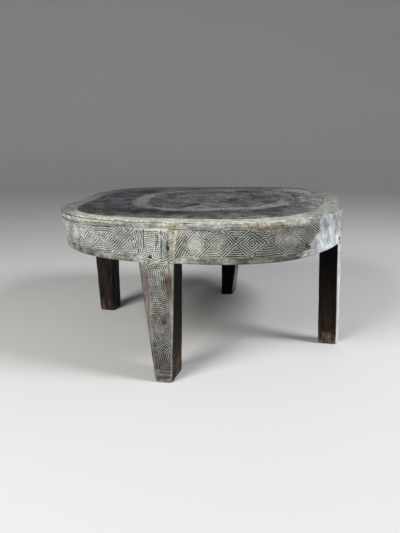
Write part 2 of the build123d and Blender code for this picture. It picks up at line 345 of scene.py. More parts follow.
def carving(s, z):
    """Cut depth, 0 to 1, at s along the ring."""
    sw = s + 3.2 * (ring_noise(s, z, 34, 30, 51) - 0.5) + 1.9 * (ring_noise(s, z, 9, 9, 52) - 0.5)
    zw = z + 3.2 * (ring_noise(s, z, 40, 34, 53) - 0.5) + 1.7 * (ring_noise(s, z, 8, 8, 54) - 0.5)
    in_band = spot(zw, BAND_0 - 0.5, BAND_1, 0.8)
    wavy = WINDING_CHAIN(np.mod(sw + 70, 400) - 70, zw)
    cut = np.zeros_like(s)

    def put(cut, value, a, b, mask=in_band):
        return np.where((s >= a) & (s < b), value * mask, cut)

    cut = put(cut, lozenges(sw, zw, CHAIN_LEFT, wavy), LEFT_PANEL[1], FRONT_PANEL[0])
    right = lozenges(sw, zw, CHAIN_RIGHT, wavy)
    # the long slanting lines left of the first lozenge
    slant = groove((sw + 80) * 0.855 - (zw - 360) * 0.518, 5.3, 0.56)
    first = (sw < -60) & (np.abs(sw + 48.5) / 31.5 + np.abs(zw - MID_Z) / HALF > 1)
    right = np.where(first, slant, right)
    # and the lines that fall to the right where the carving ends
    fall = groove((sw - 228) * 0.50 + (zw - MID_Z) * 0.866, 5.4, 0.56)
    right = np.where(sw > 229 + 3 * (noise(z / 6, 0 * z, 63) - 0.5), fall, right)
    start = -104 + (zw - 330) * 0.22 + 4 * (noise(z / 4, 0 * z, 61) - 0.3)
    stop = np.interp(z, [330, 345, 360, 378, 400], [262, 267, 280, 312, 314]) + 12 * (noise(z / 3.2, 0 * z, 62) - 0.5)
    mask = np.where(first, spot(zw, np.interp(s, [-104, -80], [326, 337]), 399, 1.0), in_band)
    trail = np.where(s < stop, 1.0, 0.45 * (1 - smooth(0, 34, s - stop)) * smooth(0.35, 0.6, ring_noise(s, z, 12, 7, 64)))
    cut = np.where((s >= start) & (s < stop + 34), right * mask * trail, cut)
    again = 700 + 0.5 * (z - 368) + 16 * (noise(z / 4, 0 * z, 65) - 0.5)
    cut = np.where((s >= again) & (s < BACK_PANEL[0]), lozenges(sw, zw, CHAIN_FAR, wavy) * in_band, cut)
    # the back and the left side, counted on past the seam
    past = np.where(s > 0, s - PERIMETER, s)
    past_w = sw - s + past
    behind = lozenges(past_w, zw, CHAIN_BACK, WINDING_CHAIN(np.mod(past_w + 70, 400) - 70, zw))
    cut = np.where((past >= CHAIN_BACK[0]) & (past < LEFT_PANEL[0]), behind * in_band, cut)
    for (a, b), winding in ((FRONT_PANEL, WINDING_FRONT), (LEFT_PANEL, WINDING_LEFT), (BACK_PANEL, WINDING_BACK)):
        edge = FRONT_RIGHT_S if winding is WINDING_FRONT else b
        cut = put(cut, leg_panel(s, z, edge, winding), a, b, 1.0)

    # lines that close the band above and below
    banded = np.maximum(1.0 - smooth(300, 312, s) * (1 - smooth(690, 702, s)), 0.0)
    for (a, b) in (FRONT_PANEL, LEFT_PANEL, BACK_PANEL):
        banded = banded * (1 - (s > a + 2) * (s < b - 16))
    for zl, width in ((400.8, 1.1), (335.8, 1.0)):
        off = np.abs(z - zl - 1.4 * (ring_noise(s, 0 * z, 45, 1, int(zl)) - 0.5))
        there = banded * (0.45 + 0.55 * smooth(0.3, 0.6, ring_noise(s, 0 * z, 30, 1, 3 + int(zl))))
        faint = 0.9 - 0.35 * smooth(-40, 20, s) * (1 - smooth(240, 300, s))
        cut = np.maximum(cut, faint * there * (1 - smooth(width * 0.5, width * 1.7, off)))

    # wear: faint where hands and knees rub
    crisp = 0.98 + 0.16 * ring_noise(s, z, 60, 40, 55) - 0.22 * smooth(0.55, 0.9, ring_noise(s, z, 26, 22, 56))
    crisp = crisp * (1 - 0.35 * spot(s, 184, 222, 12) * spot(z, 362, 388, 8))
    crisp = crisp * (1 - 0.40 * bump_at(sw, zw, -398, 372, 26, 20)) * (1 - 0.30 * bump_at(sw, zw, -328, 362, 20, 16))
    crisp = crisp * (1 - 0.55 * bump_at(sw, zw, -46, 364, 30, 27)) * (1 - 0.40 * bump_at(sw, zw, 4, 376, 26, 20))
    crisp = crisp * (1 - 0.45 * bump_at(sw, zw, -78, 392, 30, 10)) * (1 - 0.30 * bump_at(sw, zw, 172, 372, 34, 22))
    ticks = 0.86 + 0.26 * ring_noise(s, z, 4.5, 4.5, 57)
    return np.clip(cut * crisp * ticks, 0, 1)


# ---- meshes ----------------------------------------------------------------------
def make_object(name, verts, faces, uvs, attributes, material, nodes, smooth_shade=True):
    mesh = bpy.data.meshes.new(name)
    sizes = np.concatenate([np.full(len(f), f.shape[1]) for f in faces])
    loops = np.concatenate([f.ravel() for f in faces])
    mesh.vertices.add(len(verts))
    mesh.vertices.foreach_set("co", (np.asarray(verts) * MM).astype(np.float32).ravel())
    mesh.loops.add(len(loops))
    mesh.loops.foreach_set("vertex_index", loops.astype(np.int32))
    mesh.polygons.add(len(sizes))
    starts = np.concatenate([[0], np.cumsum(sizes)[:-1]])
    mesh.polygons.foreach_set("loop_start", starts.astype(np.int32))
    mesh.polygons.foreach_set("loop_total", sizes.astype(np.int32))
    mesh.update(calc_edges=True)
    mesh.polygons.foreach_set("use_smooth", np.full(len(sizes), smooth_shade))
    layer = mesh.uv_layers.new(name="OFBake")
    layer.uv.foreach_set("vector", np.concatenate([u.reshape(-1, 2) for u in uvs]).astype(np.float32).ravel())
    for key, value in attributes.items():
        value = np.asarray(value, np.float32)
        if value.ndim == 2:
            mesh.attributes.new(key, "FLOAT_VECTOR", "POINT").data.foreach_set("vector", value.ravel())
        else:
            mesh.attributes.new(key, "FLOAT", "POINT").data.foreach_set("value", value)
    mesh.validate()
    obj = bpy.data.objects.new(name, mesh)
    scene.collection.objects.link(obj)
    mesh.materials.append(material)
    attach(obj, "root")
    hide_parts(*nodes)
    return obj


def grid_faces(first, rows, cols, wrap=True):
    """Quads of a grid of vertices numbered row by row, and each corner's row and column."""
    r, c = np.meshgrid(np.arange(rows - 1), np.arange(cols if wrap else cols - 1), indexing="ij")
    r, c = r.ravel(), c.ravel()
    c1 = (c + 1) % cols
    quads = np.stack([r * cols + c, r * cols + c1, (r + 1) * cols + c1, (r + 1) * cols + c], 1) + first
    rows_at = np.stack([r, r, r + 1, r + 1], 1)
    cols_at = np.stack([c, c + 1, c + 1, c], 1)
    return quads, rows_at, cols_at


# ---- materials ---------------------------------------------------------------------
class Nodes:
    """Short forms for building a material's nodes."""

    def __init__(self, name):
        self.material = bpy.data.materials.new(name)
        self.material.use_nodes = True
        self.tree = self.material.node_tree
        self.tree.nodes.clear()
        self.out = self.add("ShaderNodeOutputMaterial")
        self.shader = self.add("ShaderNodeBsdfPrincipled")
        self.tree.links.new(self.shader.outputs[0], self.out.inputs[0])
        self.place = self.add("ShaderNodeTexCoord").outputs["Object"]

    def add(self, kind):
        return self.tree.nodes.new(kind)

    def link(self, a, b):
        if isinstance(a, (int, float)):
            b.default_value = a
        elif isinstance(a, tuple):
            b.default_value = a if len(a) == 4 or len(b.default_value) == 3 else (*a, 1.0)
        else:
            self.tree.links.new(a, b)

    def attr(self, name, vector=False):
        n = self.add("ShaderNodeAttribute")
        n.attribute_name = name
        return n.outputs["Vector" if vector else "Fac"]

    def blend(self, fac, a, b):
        n = self.add("ShaderNodeMix")
        n.data_type, n.clamp_factor = "FLOAT", True
        self.link(fac, n.inputs[0])
        self.link(a, n.inputs[2])
        self.link(b, n.inputs[3])
        return n.outputs[0]

    def vary(self, *pairs):
        """1 plus each noise, less its middle of 0.5, times its strength."""
        total = 1.0
        for value, strength in pairs:
            total = self.maths("ADD", self.maths("MULTIPLY", self.maths("SUBTRACT", value, 0.5), strength), total)
        return self.maths("MAXIMUM", total, 0.12)

    def tinted(self, warm, pink, blue, plain=(0.985, 1.03, 0.975)):
        colour = self.mix(warm, plain, (1.16, 1.04, 0.74))
        colour = self.mix(pink, colour, (1.17, 0.97, 0.90))
        return self.mix(blue, colour, (0.88, 0.97, 1.17))

    def maths(self, op, a, b=0.0, clamp=False):
        n = self.add("ShaderNodeMath")
        n.operation, n.use_clamp = op, clamp
        self.link(a, n.inputs[0])
        self.link(b, n.inputs[1])
        return n.outputs[0]

    def scaled(self, x, y, z, vector=None):
        n = self.add("ShaderNodeMapping")
        self.link(vector or self.place, n.inputs["Vector"])
        n.inputs["Scale"].default_value = (x, y, z)
        return n.outputs[0]

    def noise(self, vector, scale, detail=4.0, rough=0.55, distortion=0.0):
        n = self.add("ShaderNodeTexNoise")
        self.link(vector, n.inputs["Vector"])
        n.inputs["Scale"].default_value = scale
        n.inputs["Detail"].default_value = detail
        n.inputs["Roughness"].default_value = rough
        n.inputs["Distortion"].default_value = distortion
        return n.outputs["Fac"]

    def ramp(self, fac, *stops):
        n = self.add("ShaderNodeMapRange")
        n.interpolation_type = "SMOOTHSTEP"
        self.link(fac, n.inputs["Value"])
        n.inputs["From Min"].default_value, n.inputs["From Max"].default_value = stops[0], stops[1]
        n.inputs["To Min"].default_value = stops[2] if len(stops) > 2 else 0.0
        n.inputs["To Max"].default_value = stops[3] if len(stops) > 2 else 1.0
        return n.outputs[0]

    def mix(self, fac, a, b, mode="MIX"):
        n = self.add("ShaderNodeMix")
        n.data_type, n.blend_type, n.clamp_factor = "RGBA", mode, True
        self.link(fac, n.inputs[0])
        self.link(a, n.inputs[6])
        self.link(b, n.inputs[7])
        return n.outputs[2]

    def bump(self, height, strength, distance, normal=None):
        n = self.add("ShaderNodeBump")
        n.inputs["Strength"].default_value = strength
        n.inputs["Distance"].default_value = distance
        self.link(height, n.inputs["Height"])
        if normal is not None:
            self.link(normal, n.inputs["Normal"])
        return n.outputs[0]

    def finish(self, colour, rough, normal, specular=0.3):
        self.link(colour, self.shader.inputs["Base Color"])
        self.link(rough, self.shader.inputs["Roughness"])
        self.link(normal, self.shader.inputs["Normal"])
        self.shader.inputs["Specular IOR Level"].default_value = specular
        return self.material


def carved_wood():
    """Hardwood with pale lime rubbed over it: the ridges are pale, the cuts dark, partly from painted shade in them.
    """
    n = Nodes("carved_limed_wood")
    tone, cut, warm, pink, blue, plain, calm = (n.attr(k) for k in ("tone", "cut", "warm", "pink", "blue", "plain", "calm"))
    unrolled = n.attr("unrolled", True)
    mottle = n.noise(n.place, 62.0, 4.0, 0.6)
    speck = n.noise(n.place, 300.0, 3.0, 0.6)
    along = n.noise(n.scaled(1.0, 1.0, 8.0, unrolled), 24.0, 5.0, 0.62)
    grain = n.noise(n.scaled(1.0, 1.0, 9.0, unrolled), 80.0, 4.0, 0.6)
    upright = n.noise(n.scaled(1.0, 1.0, 0.30, unrolled), 70.0, 5.0, 0.62)
    fine = n.noise(n.scaled(1.0, 1.0, 0.12, unrolled), 300.0, 4.0, 0.6)
    # between the carved lines the surface is quieter than on the plain bands
    streak = n.blend(calm, n.blend(plain, along, upright), 0.5)
    grain = n.blend(calm, n.blend(plain, grain, fine), speck)
    value = n.vary((streak, 2.2), (mottle, 1.1), (grain, 1.4), (speck, 0.9))
    value = n.maths("MULTIPLY", value, tone)
    # the cut lines are darkened, partly by dirt held in them and partly by painted shade in the grooves; where the
    # lime is thick they are darkened less
    in_cut = n.maths("MULTIPLY", cut, n.ramp(tone, 0.25, 0.55, 0.95, 0.86))
    value = n.maths("MULTIPLY", value, n.maths("SUBTRACT", 1.0, in_cut))
    pits = n.ramp(n.noise(n.place, 420.0, 2.0, 0.5), 0.66, 0.74)
    value = n.maths("MULTIPLY", value, n.maths("SUBTRACT", 1.0, n.maths("MULTIPLY", pits, 0.45)))
    bare = n.ramp(n.maths("ADD", streak, n.maths("MULTIPLY", mottle, 0.5)), 0.76, 0.56, 0.0, 0.45)
    colour = n.tinted(n.maths("ADD", warm, bare, True), pink, blue, (0.975, 1.035, 1.0))
    colour = n.mix(n.maths("MULTIPLY", cut, 0.4), colour, (1.0, 0.98, 0.90))
    colour = n.mix(1.0, colour, value, "MULTIPLY")
    height = n.maths("ADD", n.maths("MULTIPLY", grain, 0.8), n.maths("MULTIPLY", mottle, 0.6))
    height = n.maths("SUBTRACT", height, n.maths("MULTIPLY", pits, 0.5))
    rough = n.ramp(value, 0.05, 0.45, 0.62, 0.90)
    return n.finish(colour, rough, n.bump(height, 0.55, 0.0011), 0.25)


def end_grain():
    """Dark, worn cross-cut wood, with growth rings, one paler ring and checks."""
    n = Nodes("end_grain_top")
    tone, ring, warm, pink, blue, calm = (n.attr(k) for k in ("tone", "ring", "warm", "pink", "blue", "calm"))
    blotch = n.noise(n.place, 11.0, 5.0, 0.62)
    mottle = n.blend(calm, n.noise(n.place, 42.0, 5.0, 0.62), 0.5)
    speck = n.noise(n.place, 230.0, 3.0, 0.6)
    fine = n.noise(n.place, 560.0, 2.0, 0.5)
    # fine scores left by scraping the top from front to back
    score = n.noise(n.scaled(1.0, 0.30, 1.0), 230.0, 4.0, 0.6)
    value = n.vary((blotch, 1.5), (mottle, 2.8), (speck, 2.0), (score, 4.8))
    value = n.maths("MULTIPLY", value, n.maths("SUBTRACT", 1.0, n.ramp(ring, 0.35, 0.85, 0.0, 0.40)))
    value = n.maths("MULTIPLY", value, tone)
    pores = n.ramp(fine, 0.64, 0.72)
    value = n.maths("MULTIPLY", value, n.maths("SUBTRACT", 1.0, n.maths("MULTIPLY", pores, 0.5)))
    colour = n.tinted(n.maths("ADD", warm, n.ramp(speck, 0.45, 0.75, 0.0, 0.22), True), pink, blue, (0.965, 0.995, 1.04))
    colour = n.mix(1.0, colour, value, "MULTIPLY")
    height = n.maths("ADD", n.maths("MULTIPLY", mottle, 0.8), n.maths("MULTIPLY", speck, 0.4))
    height = n.maths("ADD", height, n.maths("MULTIPLY", score, 0.6))
    height = n.maths("SUBTRACT", height, n.maths("MULTIPLY", pores, 0.5))
    rough = n.ramp(blotch, 0.3, 0.75, 0.58, 0.82)
    return n.finish(colour, rough, n.bump(height, 0.6, 0.0012), 0.25)


def leg_timber():
    """Reddish-brown hewn wood with upright streaks, limed on the outer faces."""
    n = Nodes("leg_wood")
    tone, cut, warm, pink, blue, calm = (n.attr(k) for k in ("tone", "cut", "warm", "pink", "blue", "calm"))
    streak = n.noise(n.scaled(1.0, 1.0, 0.07), 95.0, 5.0, 0.62)
    grain = n.noise(n.scaled(1.0, 1.0, 0.05), 420.0, 4.0, 0.6)
    blotch = n.noise(n.scaled(1.0, 1.0, 0.5), 18.0, 4.0, 0.6)
    mottle = n.noise(n.place, 75.0, 4.0, 0.6)
    streak, grain = n.blend(calm, streak, 0.5), n.blend(calm, grain, mottle)
    value = n.vary((streak, 2.6), (blotch, 1.4), (mottle, 1.1), (grain, 1.8))
    value = n.maths("MULTIPLY", value, tone)
    # the cut lines are darkened, partly by dirt and partly by painted shade in the grooves
    value = n.maths("MULTIPLY", value, n.maths("SUBTRACT", 1.0, n.maths("MULTIPLY", cut, n.ramp(tone, 0.25, 0.55, 0.93, 0.84))))
    # bare wood is reddish brown, limed wood is grey
    bare = n.maths("MULTIPLY", n.ramp(value, 0.16, 0.03, 0.0, 1.0), n.ramp(blue, 0.0, 0.7, 1.0, 0.0))
    colour = n.tinted(warm, pink, blue)
    colour = n.mix(bare, colour, (1.42, 0.90, 0.66))
    colour = n.mix(1.0, colour, value, "MULTIPLY")
    height = n.maths("ADD", n.maths("MULTIPLY", streak, 0.6), n.maths("MULTIPLY", grain, 0.7))
    rough = n.ramp(value, 0.02, 0.40, 0.66, 0.90)
    return n.finish(colour, rough, n.bump(height, 0.6, 0.0012), 0.08)


def peg_timber():
    """Dark end-grain of the trimmed pegs."""
    n = Nodes("peg_wood")
    rings = n.noise(n.place, 420.0, 4.0, 0.6, 0.6)
    pores = n.noise(n.place, 900.0, 2.0, 0.5)
    colour = n.mix(n.ramp(rings, 0.32, 0.70), (0.016, 0.012, 0.010), (0.058, 0.044, 0.034))
    colour = n.mix(n.ramp(pores, 0.58, 0.72, 0.0, 0.6), colour, (0.120, 0.105, 0.088))
    return n.finish(colour, n.ramp(rings, 0.3, 0.7, 0.55, 0.85), n.bump(rings, 0.5, 0.0006), 0.3)


MAT_RING, MAT_TOP, MAT_LEG, MAT_PEG = carved_wood(), end_grain(), leg_timber(), peg_timber()

# ---- drum ring -----------------------------------------------------------------------
FINE = 2304                      # columns round the carved side
COARSE = FINE // 4               # and round the hidden inside
S = (np.arange(FINE) / FINE - 0.5) * PERIMETER
U = u_at(S)
P_TOP = closed_curve(outline(0.0, 0.0), U)
P_LOW = closed_curve(outline(0.0, 1.0), U)
P_EDGE = closed_curve(border_inner(0.0), U)
P_LEDGE = closed_curve(border_inner(LEDGE_W), U)
T = np.roll(P_TOP, -1, 0) - np.roll(P_TOP, 1, 0)
T /= np.hypot(*T.T)[:, None]
N2 = np.stack([T[:, 1], -T[:, 0]], 1)

near_leg = np.zeros(FINE)
for name, (foot, top) in LEGS.items():
    a, b = s_near(*top[0]), s_near(*top[1])
    near_leg = np.maximum(near_leg, spot(S, min(a, b) + 1, max(a, b) - 1, 5))
ROUND_LOW = BOTTOM_ROUND * (1 - near_leg) + 0.7 * near_leg

pegs_at = []
for name, (foot, top) in LEGS.items():
    for t, z in PEG_SPOTS:
        x = top[0][0] + (top[1][0] - top[0][0]) * t
        y = top[0][1] + (top[1][1] - top[0][1]) * t
        pegs_at.append((s_near(x, y), z))


def peg_dish(s, z):
    """A shallow dish round each peg's end."""
    d = np.full(np.broadcast(s, z).shape, 1e9)
    for ps, pz in pegs_at:
        d = np.minimum(d, np.hypot(s - ps, z - pz))
    return 1 - smooth(4.3, 5.6, d)


PLAIN = (308.0, 700.0)           # the side with no carving
CROOK_Z, CROOK_S = [354, 362, 368, 376, 388], [-145, -143, -140.5, -138.5, -139.5]

def band_shades(s, z):
    """Reflectance of the ridges and the warm, pink and blue shares on the outside of the ring."""
    z = np.broadcast_to(np.asarray(z, float), s.shape)
    upper, lower = smooth(400.5, 403, z), 1 - smooth(333.5, 336.5, z)
    # bent coordinates, so that no patch has a straight edge
    ws = s + 34 * (ring_noise(s, z, 36, 20, 80) - 0.5) + 20 * (ring_noise(s, z, 12, 7, 87) - 0.5)
    wz = z + 12 * (ring_noise(s, z, 26, 18, 88) - 0.5)
    # the carving ends on a ragged slant, and the plain side begins
    bare = smooth(-32, 34, ws + 16 * (ring_noise(s, z, 6, 5, 89) - 0.5) - 272 - 42 * smooth(340, 392, z)) * (1 - smooth(676, 724, ws - 0.5 * (z - 368)))
    # the carved band, paler to the left and darker to the right: partly the lime's own patches, partly painted light
    # and shade for how the light falls along the band
    tone = 0.36 + 0.14 * smooth(-500, -380, s) * (1 - smooth(-170, 190, s)) - 0.05 * spot(s, 120, 280, 60)
    tone = tone * (0.78 + 0.44 * ring_noise(s, z, 46, 34, 81)) * (0.88 + 0.24 * ring_noise(s, z, 17, 13, 90))
    tone = tone * (1 - 0.16 * spot(ws, -116, -84, 20) * (0.6 + 0.8 * ring_noise(s, z, 5, 12, 75)))
    warm = 0.10 + 0.34 * smooth(0.5, 0.8, ring_noise(s, z, 52, 40, 82))
    warm = np.maximum(warm, 0.35 * spot(ws, -118, -80, 20) * spot(z, 330, 399, 6))
    warm = np.maximum(warm, 0.50 * bump_at(ws, wz, 55, 348, 30, 16))
    warm = np.maximum(warm, 0.45 * bump_at(ws, wz, -62, 340, 34, 12))
    warm = np.maximum(warm, 0.30 * spot(s, 120, 290, 60))
    pink, blue = 0.0 * s, 0.12 * spot(s, -480, -300, 40)
    blue = np.maximum(blue, 0.35 * bump_at(ws, wz, -272, 357, 34, 18))
    blue = np.maximum(blue, 0.15 * bump_at(ws, wz, 62, 386, 30, 14))
    blue = np.maximum(blue, 0.20 * spot(ws, -198, -172, 14) * spot(z, 340, 398, 12))
    # the plain band above the carving
    up = 0.245 + 0.04 * spot(ws, -120, -60, 40) - 0.04 * spot(ws, -252, -208, 24)
    up = up - 0.085 * spot(ws, 45, 190, 40) - 0.02 * spot(ws, -415, -345, 30)
    # the border's lime runs over the worn rim and a little way down
    up = up + 0.15 * smooth(406.5, 412.5, z + 5 * (ring_noise(s, 0 * z, 14, 1, 73) - 0.5)) * spot(s, -430, 250, 70)
    tone = tone * (1 - upper) + up * upper * (0.72 + 0.56 * ring_noise(s, z, 18, 6, 83)) * (0.68 + 0.64 * ring_noise(s, z, 3.6, 8, 79))
    warm_up = np.maximum(0.50 * spot(ws, -318, -262, 24), np.maximum(0.60 * spot(ws, -116, -58, 24), 0.85 * spot(ws, 60, 176, 26)))
    warm = warm * (1 - upper) + np.maximum(warm_up, 0.15) * upper
    pink = np.maximum(pink, upper * 0.45 * spot(ws, -412, -350, 22))
    pink = np.maximum(pink, upper * 0.22 * spot(ws, -20, 12, 20))
    blue = blue * (1 - upper) + upper * 0.12 * np.maximum(spot(ws, -55, -30, 16), spot(ws, 28, 54, 16))
    # and below it
    down = 0.225 - 0.085 * spot(ws, -388, -326, 16) - 0.09 * (1 - smooth(-540, -440, s)) - 0.08 * spot(ws, 38, 230, 18)
    down = down - 0.035 * spot(ws, 60, 80, 14) - 0.03 * spot(ws, 156, 226, 20) + 0.09 * bump_at(ws, wz, 252, 334, 26, 16)
    down = down - 0.045 * spot(ws, -48, -18, 18) + 0.10 * smooth(280, 320, ws)
    tone = tone * (1 - lower) + (down - 0.006) * lower * (0.46 + 1.08 * ring_noise(s, z, 15, 7, 84)) * (0.70 + 0.60 * ring_noise(s, z, 4.2, 6, 78))
    warm_low = np.maximum(0.42 * spot(ws, -316, -232, 24), np.maximum(0.60 * spot(ws, 90, 136, 24), 0.45 * spot(ws, -8, 22, 18)))
    warm = warm * (1 - lower) + np.maximum(warm_low, 0.38) * lower
    pink = np.maximum(pink, lower * 0.35 * spot(ws, 58, 82, 14))
    pink = np.maximum(pink, 0.50 * bump_at(ws, wz, 292, 331, 46, 24))
    # the panel over the front leg is limed all the way down
    panel = spot(s + 9 * (ring_noise(s, z, 9, 14, 77) - 0.5), -194, -104, 9) * (1 - upper)
    beside = spot(s, -112, -98, 4) * (1 - upper)
    limed = (0.52 + 0.07 * spot(s, -172, -126, 20)) * (0.80 + 0.40 * ring_noise(s, z, 12, 20, 85)) * (1 - 0.16 * spot(s, -126, -114, 6) - 0.34 * beside)
    tone = tone * (1 - panel) + panel * limed
    warm = warm * (1 - panel * 0.7) + 0.25 * beside
    # the plain side: pale wood under a painted bluish-white highlight, brightest low down, with greyer patches of
    # painted shade, pinker patches, and darker where it turns away to the back
    side = (0.49 - 0.10 * smooth(340, 398, wz)) * (0.74 + 0.52 * ring_noise(s + z * 0.6, z, 26, 18, 86)) * (0.84 + 0.32 * ring_noise(s + z * 0.5, z, 8, 10, 76))
    side = side * (1 + 0.20 * bump_at(ws, wz, 400, 330, 70, 24)) * (1 + 0.15 * bump_at(ws, wz, 330, 332, 30, 20))
    side = side * (1 - 0.32 * bump_at(ws, wz, 356, 386, 24, 16)) * (1 - 0.32 * bump_at(ws, wz, 424, 397, 36, 20))
    side = side * (1 - 0.30 * bump_at(ws, wz, 298, 350, 16, 12)) * (1 - 0.20 * smooth(430, 520, s))
    tone = tone * (1 - bare) + side * bare
    warm = warm * (1 - bare) + bare * (0.08 + 0.20 * bump_at(ws, wz, 408, 368, 40, 20) + 0.25 * smooth(430, 560, s))
    blue = np.maximum(blue * (1 - bare), bare * 0.34 * (1 - 0.7 * bump_at(ws, wz, 408, 368, 40, 20)) * (1 - smooth(430, 560, s)))
    # painted highlight colour: a bluish tint along the top where the plain side begins
    blue = np.maximum(blue, 0.40 * spot(ws, 296, 350, 20) * spot(z, 396, 420, 8))
    # dark spots: stains, and painted shade in the hole, the scar and the split that the wall rows cut
    dark = 0.85 * (1 - smooth(1.4, 3.2, np.hypot(s - 51, (z - 381) * 0.8)))
    dark = np.maximum(dark, 0.70 * bump_at(s, z, 98, 343, 5, 4))
    dark = np.maximum(dark, 0.72 * bump_at(ws, wz, 259, 348, 11, 8))
    dark = np.maximum(dark, 0.25 * bump_at(ws, wz, 204, 353, 34, 14))
    dark = np.maximum(dark, 0.72 * (1 - smooth(1.2, 2.8, np.abs(s - np.interp(z, CROOK_Z, CROOK_S)))) * spot(z, 358, 385, 2))
    dark = np.maximum(dark, 0.78 * (1 - smooth(0.7, 1.9, np.abs(s + 114.5))) * spot(z, 345, 372, 3))
    return tone * (1 - dark), np.clip(warm, 0, 1), np.clip(pink, 0, 1), np.clip(blue, 0, 1)


rows_xyz, rows_v = [], []
ring_attr = {k: [] for k in ("cut", "tone", "warm", "pink", "blue", "plain", "calm", "unrolled")}


def add_row(xy, z, v, cut, shades, plain, across, calm=0.0):
    count = len(xy)
    # the streaks of the plain side fall to the right
    fall = 0.55 * np.broadcast_to(np.asarray(plain, float) * (np.asarray(z, float) - MID_Z), count)
    turn = ((S if count == FINE else S[::4]) + fall) / PERIMETER * 2 * math.pi
    radius = PERIMETER / (2 * math.pi) * MM
    rows_xyz.append(np.column_stack([xy, np.broadcast_to(z, count)]))
    rows_v.append(v)
    for key, value in zip(ring_attr, (cut, *shades, plain, calm)):
        ring_attr[key].append(np.broadcast_to(np.asarray(value, float), count))
    ring_attr["unrolled"].append(np.column_stack([radius * np.cos(turn), radius * np.sin(turn),
                                                  np.broadcast_to(np.asarray(across, float) * MM, count)]))


def wall_xy(z, inset):
    k = ((TOP_Z - z) / (TOP_Z - RIM_Z))
    k = np.broadcast_to(k, S.shape)[:, None]
    return P_TOP * (1 - k) + P_LOW * k - N2 * (np.broadcast_to(inset, S.shape) + 0.4)[:, None]


def hewn(s, z):
    """Low tool marks left on the plain wood, in millimetres below the true face."""
    broad = ring_noise(s, z, 38, 55, 91)
    facet = np.abs(ring_noise(s, z, 15, 34, 92) - 0.5) * 2
    return 0.10 + 0.42 * broad + 0.28 * facet


def wall_row(z, v, inset=0.0, lift=0.0):
    cut = carving(S, np.broadcast_to(z, S.shape).astype(float))
    tone, warm, pink, blue = band_shades(S, z)
    dish = peg_dish(S, z)
    framed = spot(z, 334, 402, 2) * (1 - spot(S, *PLAIN, 8))
    depth = hewn(S, z) * (1 - 0.65 * framed) + 1.8 * cut
    depth = np.maximum(depth, 0.7 * dish)
    hole = 1 - smooth(1.0, 3.0, np.hypot(S - 51, (z - 381) * 0.8))
    split = (1 - smooth(0.5, 1.7, np.abs(S + 114.5))) * spot(z, 345, 372, 3)
    scar = (1 - smooth(1.0, 2.4, np.abs(S - np.interp(z, CROOK_Z, CROOK_S)))) * spot(z, 358, 385, 2)
    depth = depth + 3.2 * hole + 1.6 * split * (1 - dish) + 1.3 * scar
    # painted shade: the dish round each peg is darkened to half
    add_row(wall_xy(z, inset + depth), z + lift, v, cut, (tone * (1 - 0.5 * dish), warm, pink, blue), spot(S, *PLAIN, 30), z - TOP_Z,
            0.8 * spot(z, 336, 400, 2) * (1 - 0.7 * smooth(290, 330, S) * (1 - smooth(680, 702, S))))


v = 0.0
for phi in (90, 60, 30):
    p = math.radians(phi)
    z = RIM_Z + ROUND_LOW * (1 - math.sin(p))
    inset = ROUND_LOW * (1 - math.cos(p)) + 0.25 * hewn(S, RIM_Z)
    tone, warm, pink, blue = band_shades(S, RIM_Z + 1.0)
    # painted shade: the rounding is darker as it turns under the ring
    add_row(wall_xy(z, inset), z, v, 0.0, (tone * (1 - 0.35 * math.sin(p)), warm, pink, blue), spot(S, *PLAIN, 10), RIM_Z - TOP_Z - phi / 30)
    v += 2.0
zs = np.concatenate([np.linspace(321.2, 335.0, 11), np.arange(336.2, 402.6, 1.15), np.linspace(404.2, 413.0, 5)])
for z in zs:
    wall_row(float(z), v)
    v += 1.35
around = np.degrees(np.arctan2(P_TOP[:, 1], P_TOP[:, 0]))          # -180 to 180, 0 to the right


def border_shades(xy, f):
    """The border's shades; f is 0 at the rim and 1 at the inner edge."""
    x, y = xy.T
    wander = around + 16 * (ring_noise(S, f * 50 + 0 * S, 60, 26, 108) - 0.5)
    # degrees round from the front: painted paler in front and at the right and darker to the back, painted light and
    # shade for how the light falls across the border
    turn = np.mod(wander + 270, 360) - 180
    tone = 0.076 + 0.215 * smooth(-74, -42, turn) * (1 - smooth(84, 165, turn)) + 0.09 * spot(turn, -98, -60, 34) + 0.15 * spot(turn, -38, 24, 24)
    tone = tone * (0.84 + 0.32 * ring_noise(S, f * 56 + 0 * S, 52, 18, 107)) * (0.74 + 0.52 * ring_noise(S, f * 56 + 0 * S, 5, 14, 100))
    tone = tone * (1.04 - 0.16 * spot(turn, 44, 120, 20) + 0.15 * spot(turn, 52, 84, 14) * smooth(0.45, 0.75, ring_noise(S, f * 56 + 0 * S, 60, 6, 99)))
    into = smooth(0.74, 1.08, f + 0.26 * (ring_noise(S, f * 30 + 0 * S, 22, 12, 109) - 0.5)) * (1 - 0.45 * spot(turn, 40, 130, 24))
    tone = tone * (1 - into) + into * (tone * 0.46 + 0.056)
    warm = 0.10 + 0.16 * spot(turn, -40, 30, 24) + 0.16 * smooth(0.5, 0.75, ring_noise(S, f * 56 + 0 * S, 48, 30, 110)) * spot(turn, -80, 120, 20)
    pink = 0.35 * bump_at(x, y, -345, -375, 30, 40) + 0.25 * smooth(0.6, 0.8, ring_noise(S, f * 56 + 0 * S, 38, 22, 117)) * spot(turn, 30, 110, 20)
    blue = 0.75 * spot(wander, 108, 138, 16) + 0.25 * spot(wander, 60, 100, 20)
    return tone, warm, np.clip(pink, 0, 1), np.clip(blue, 0, 1)


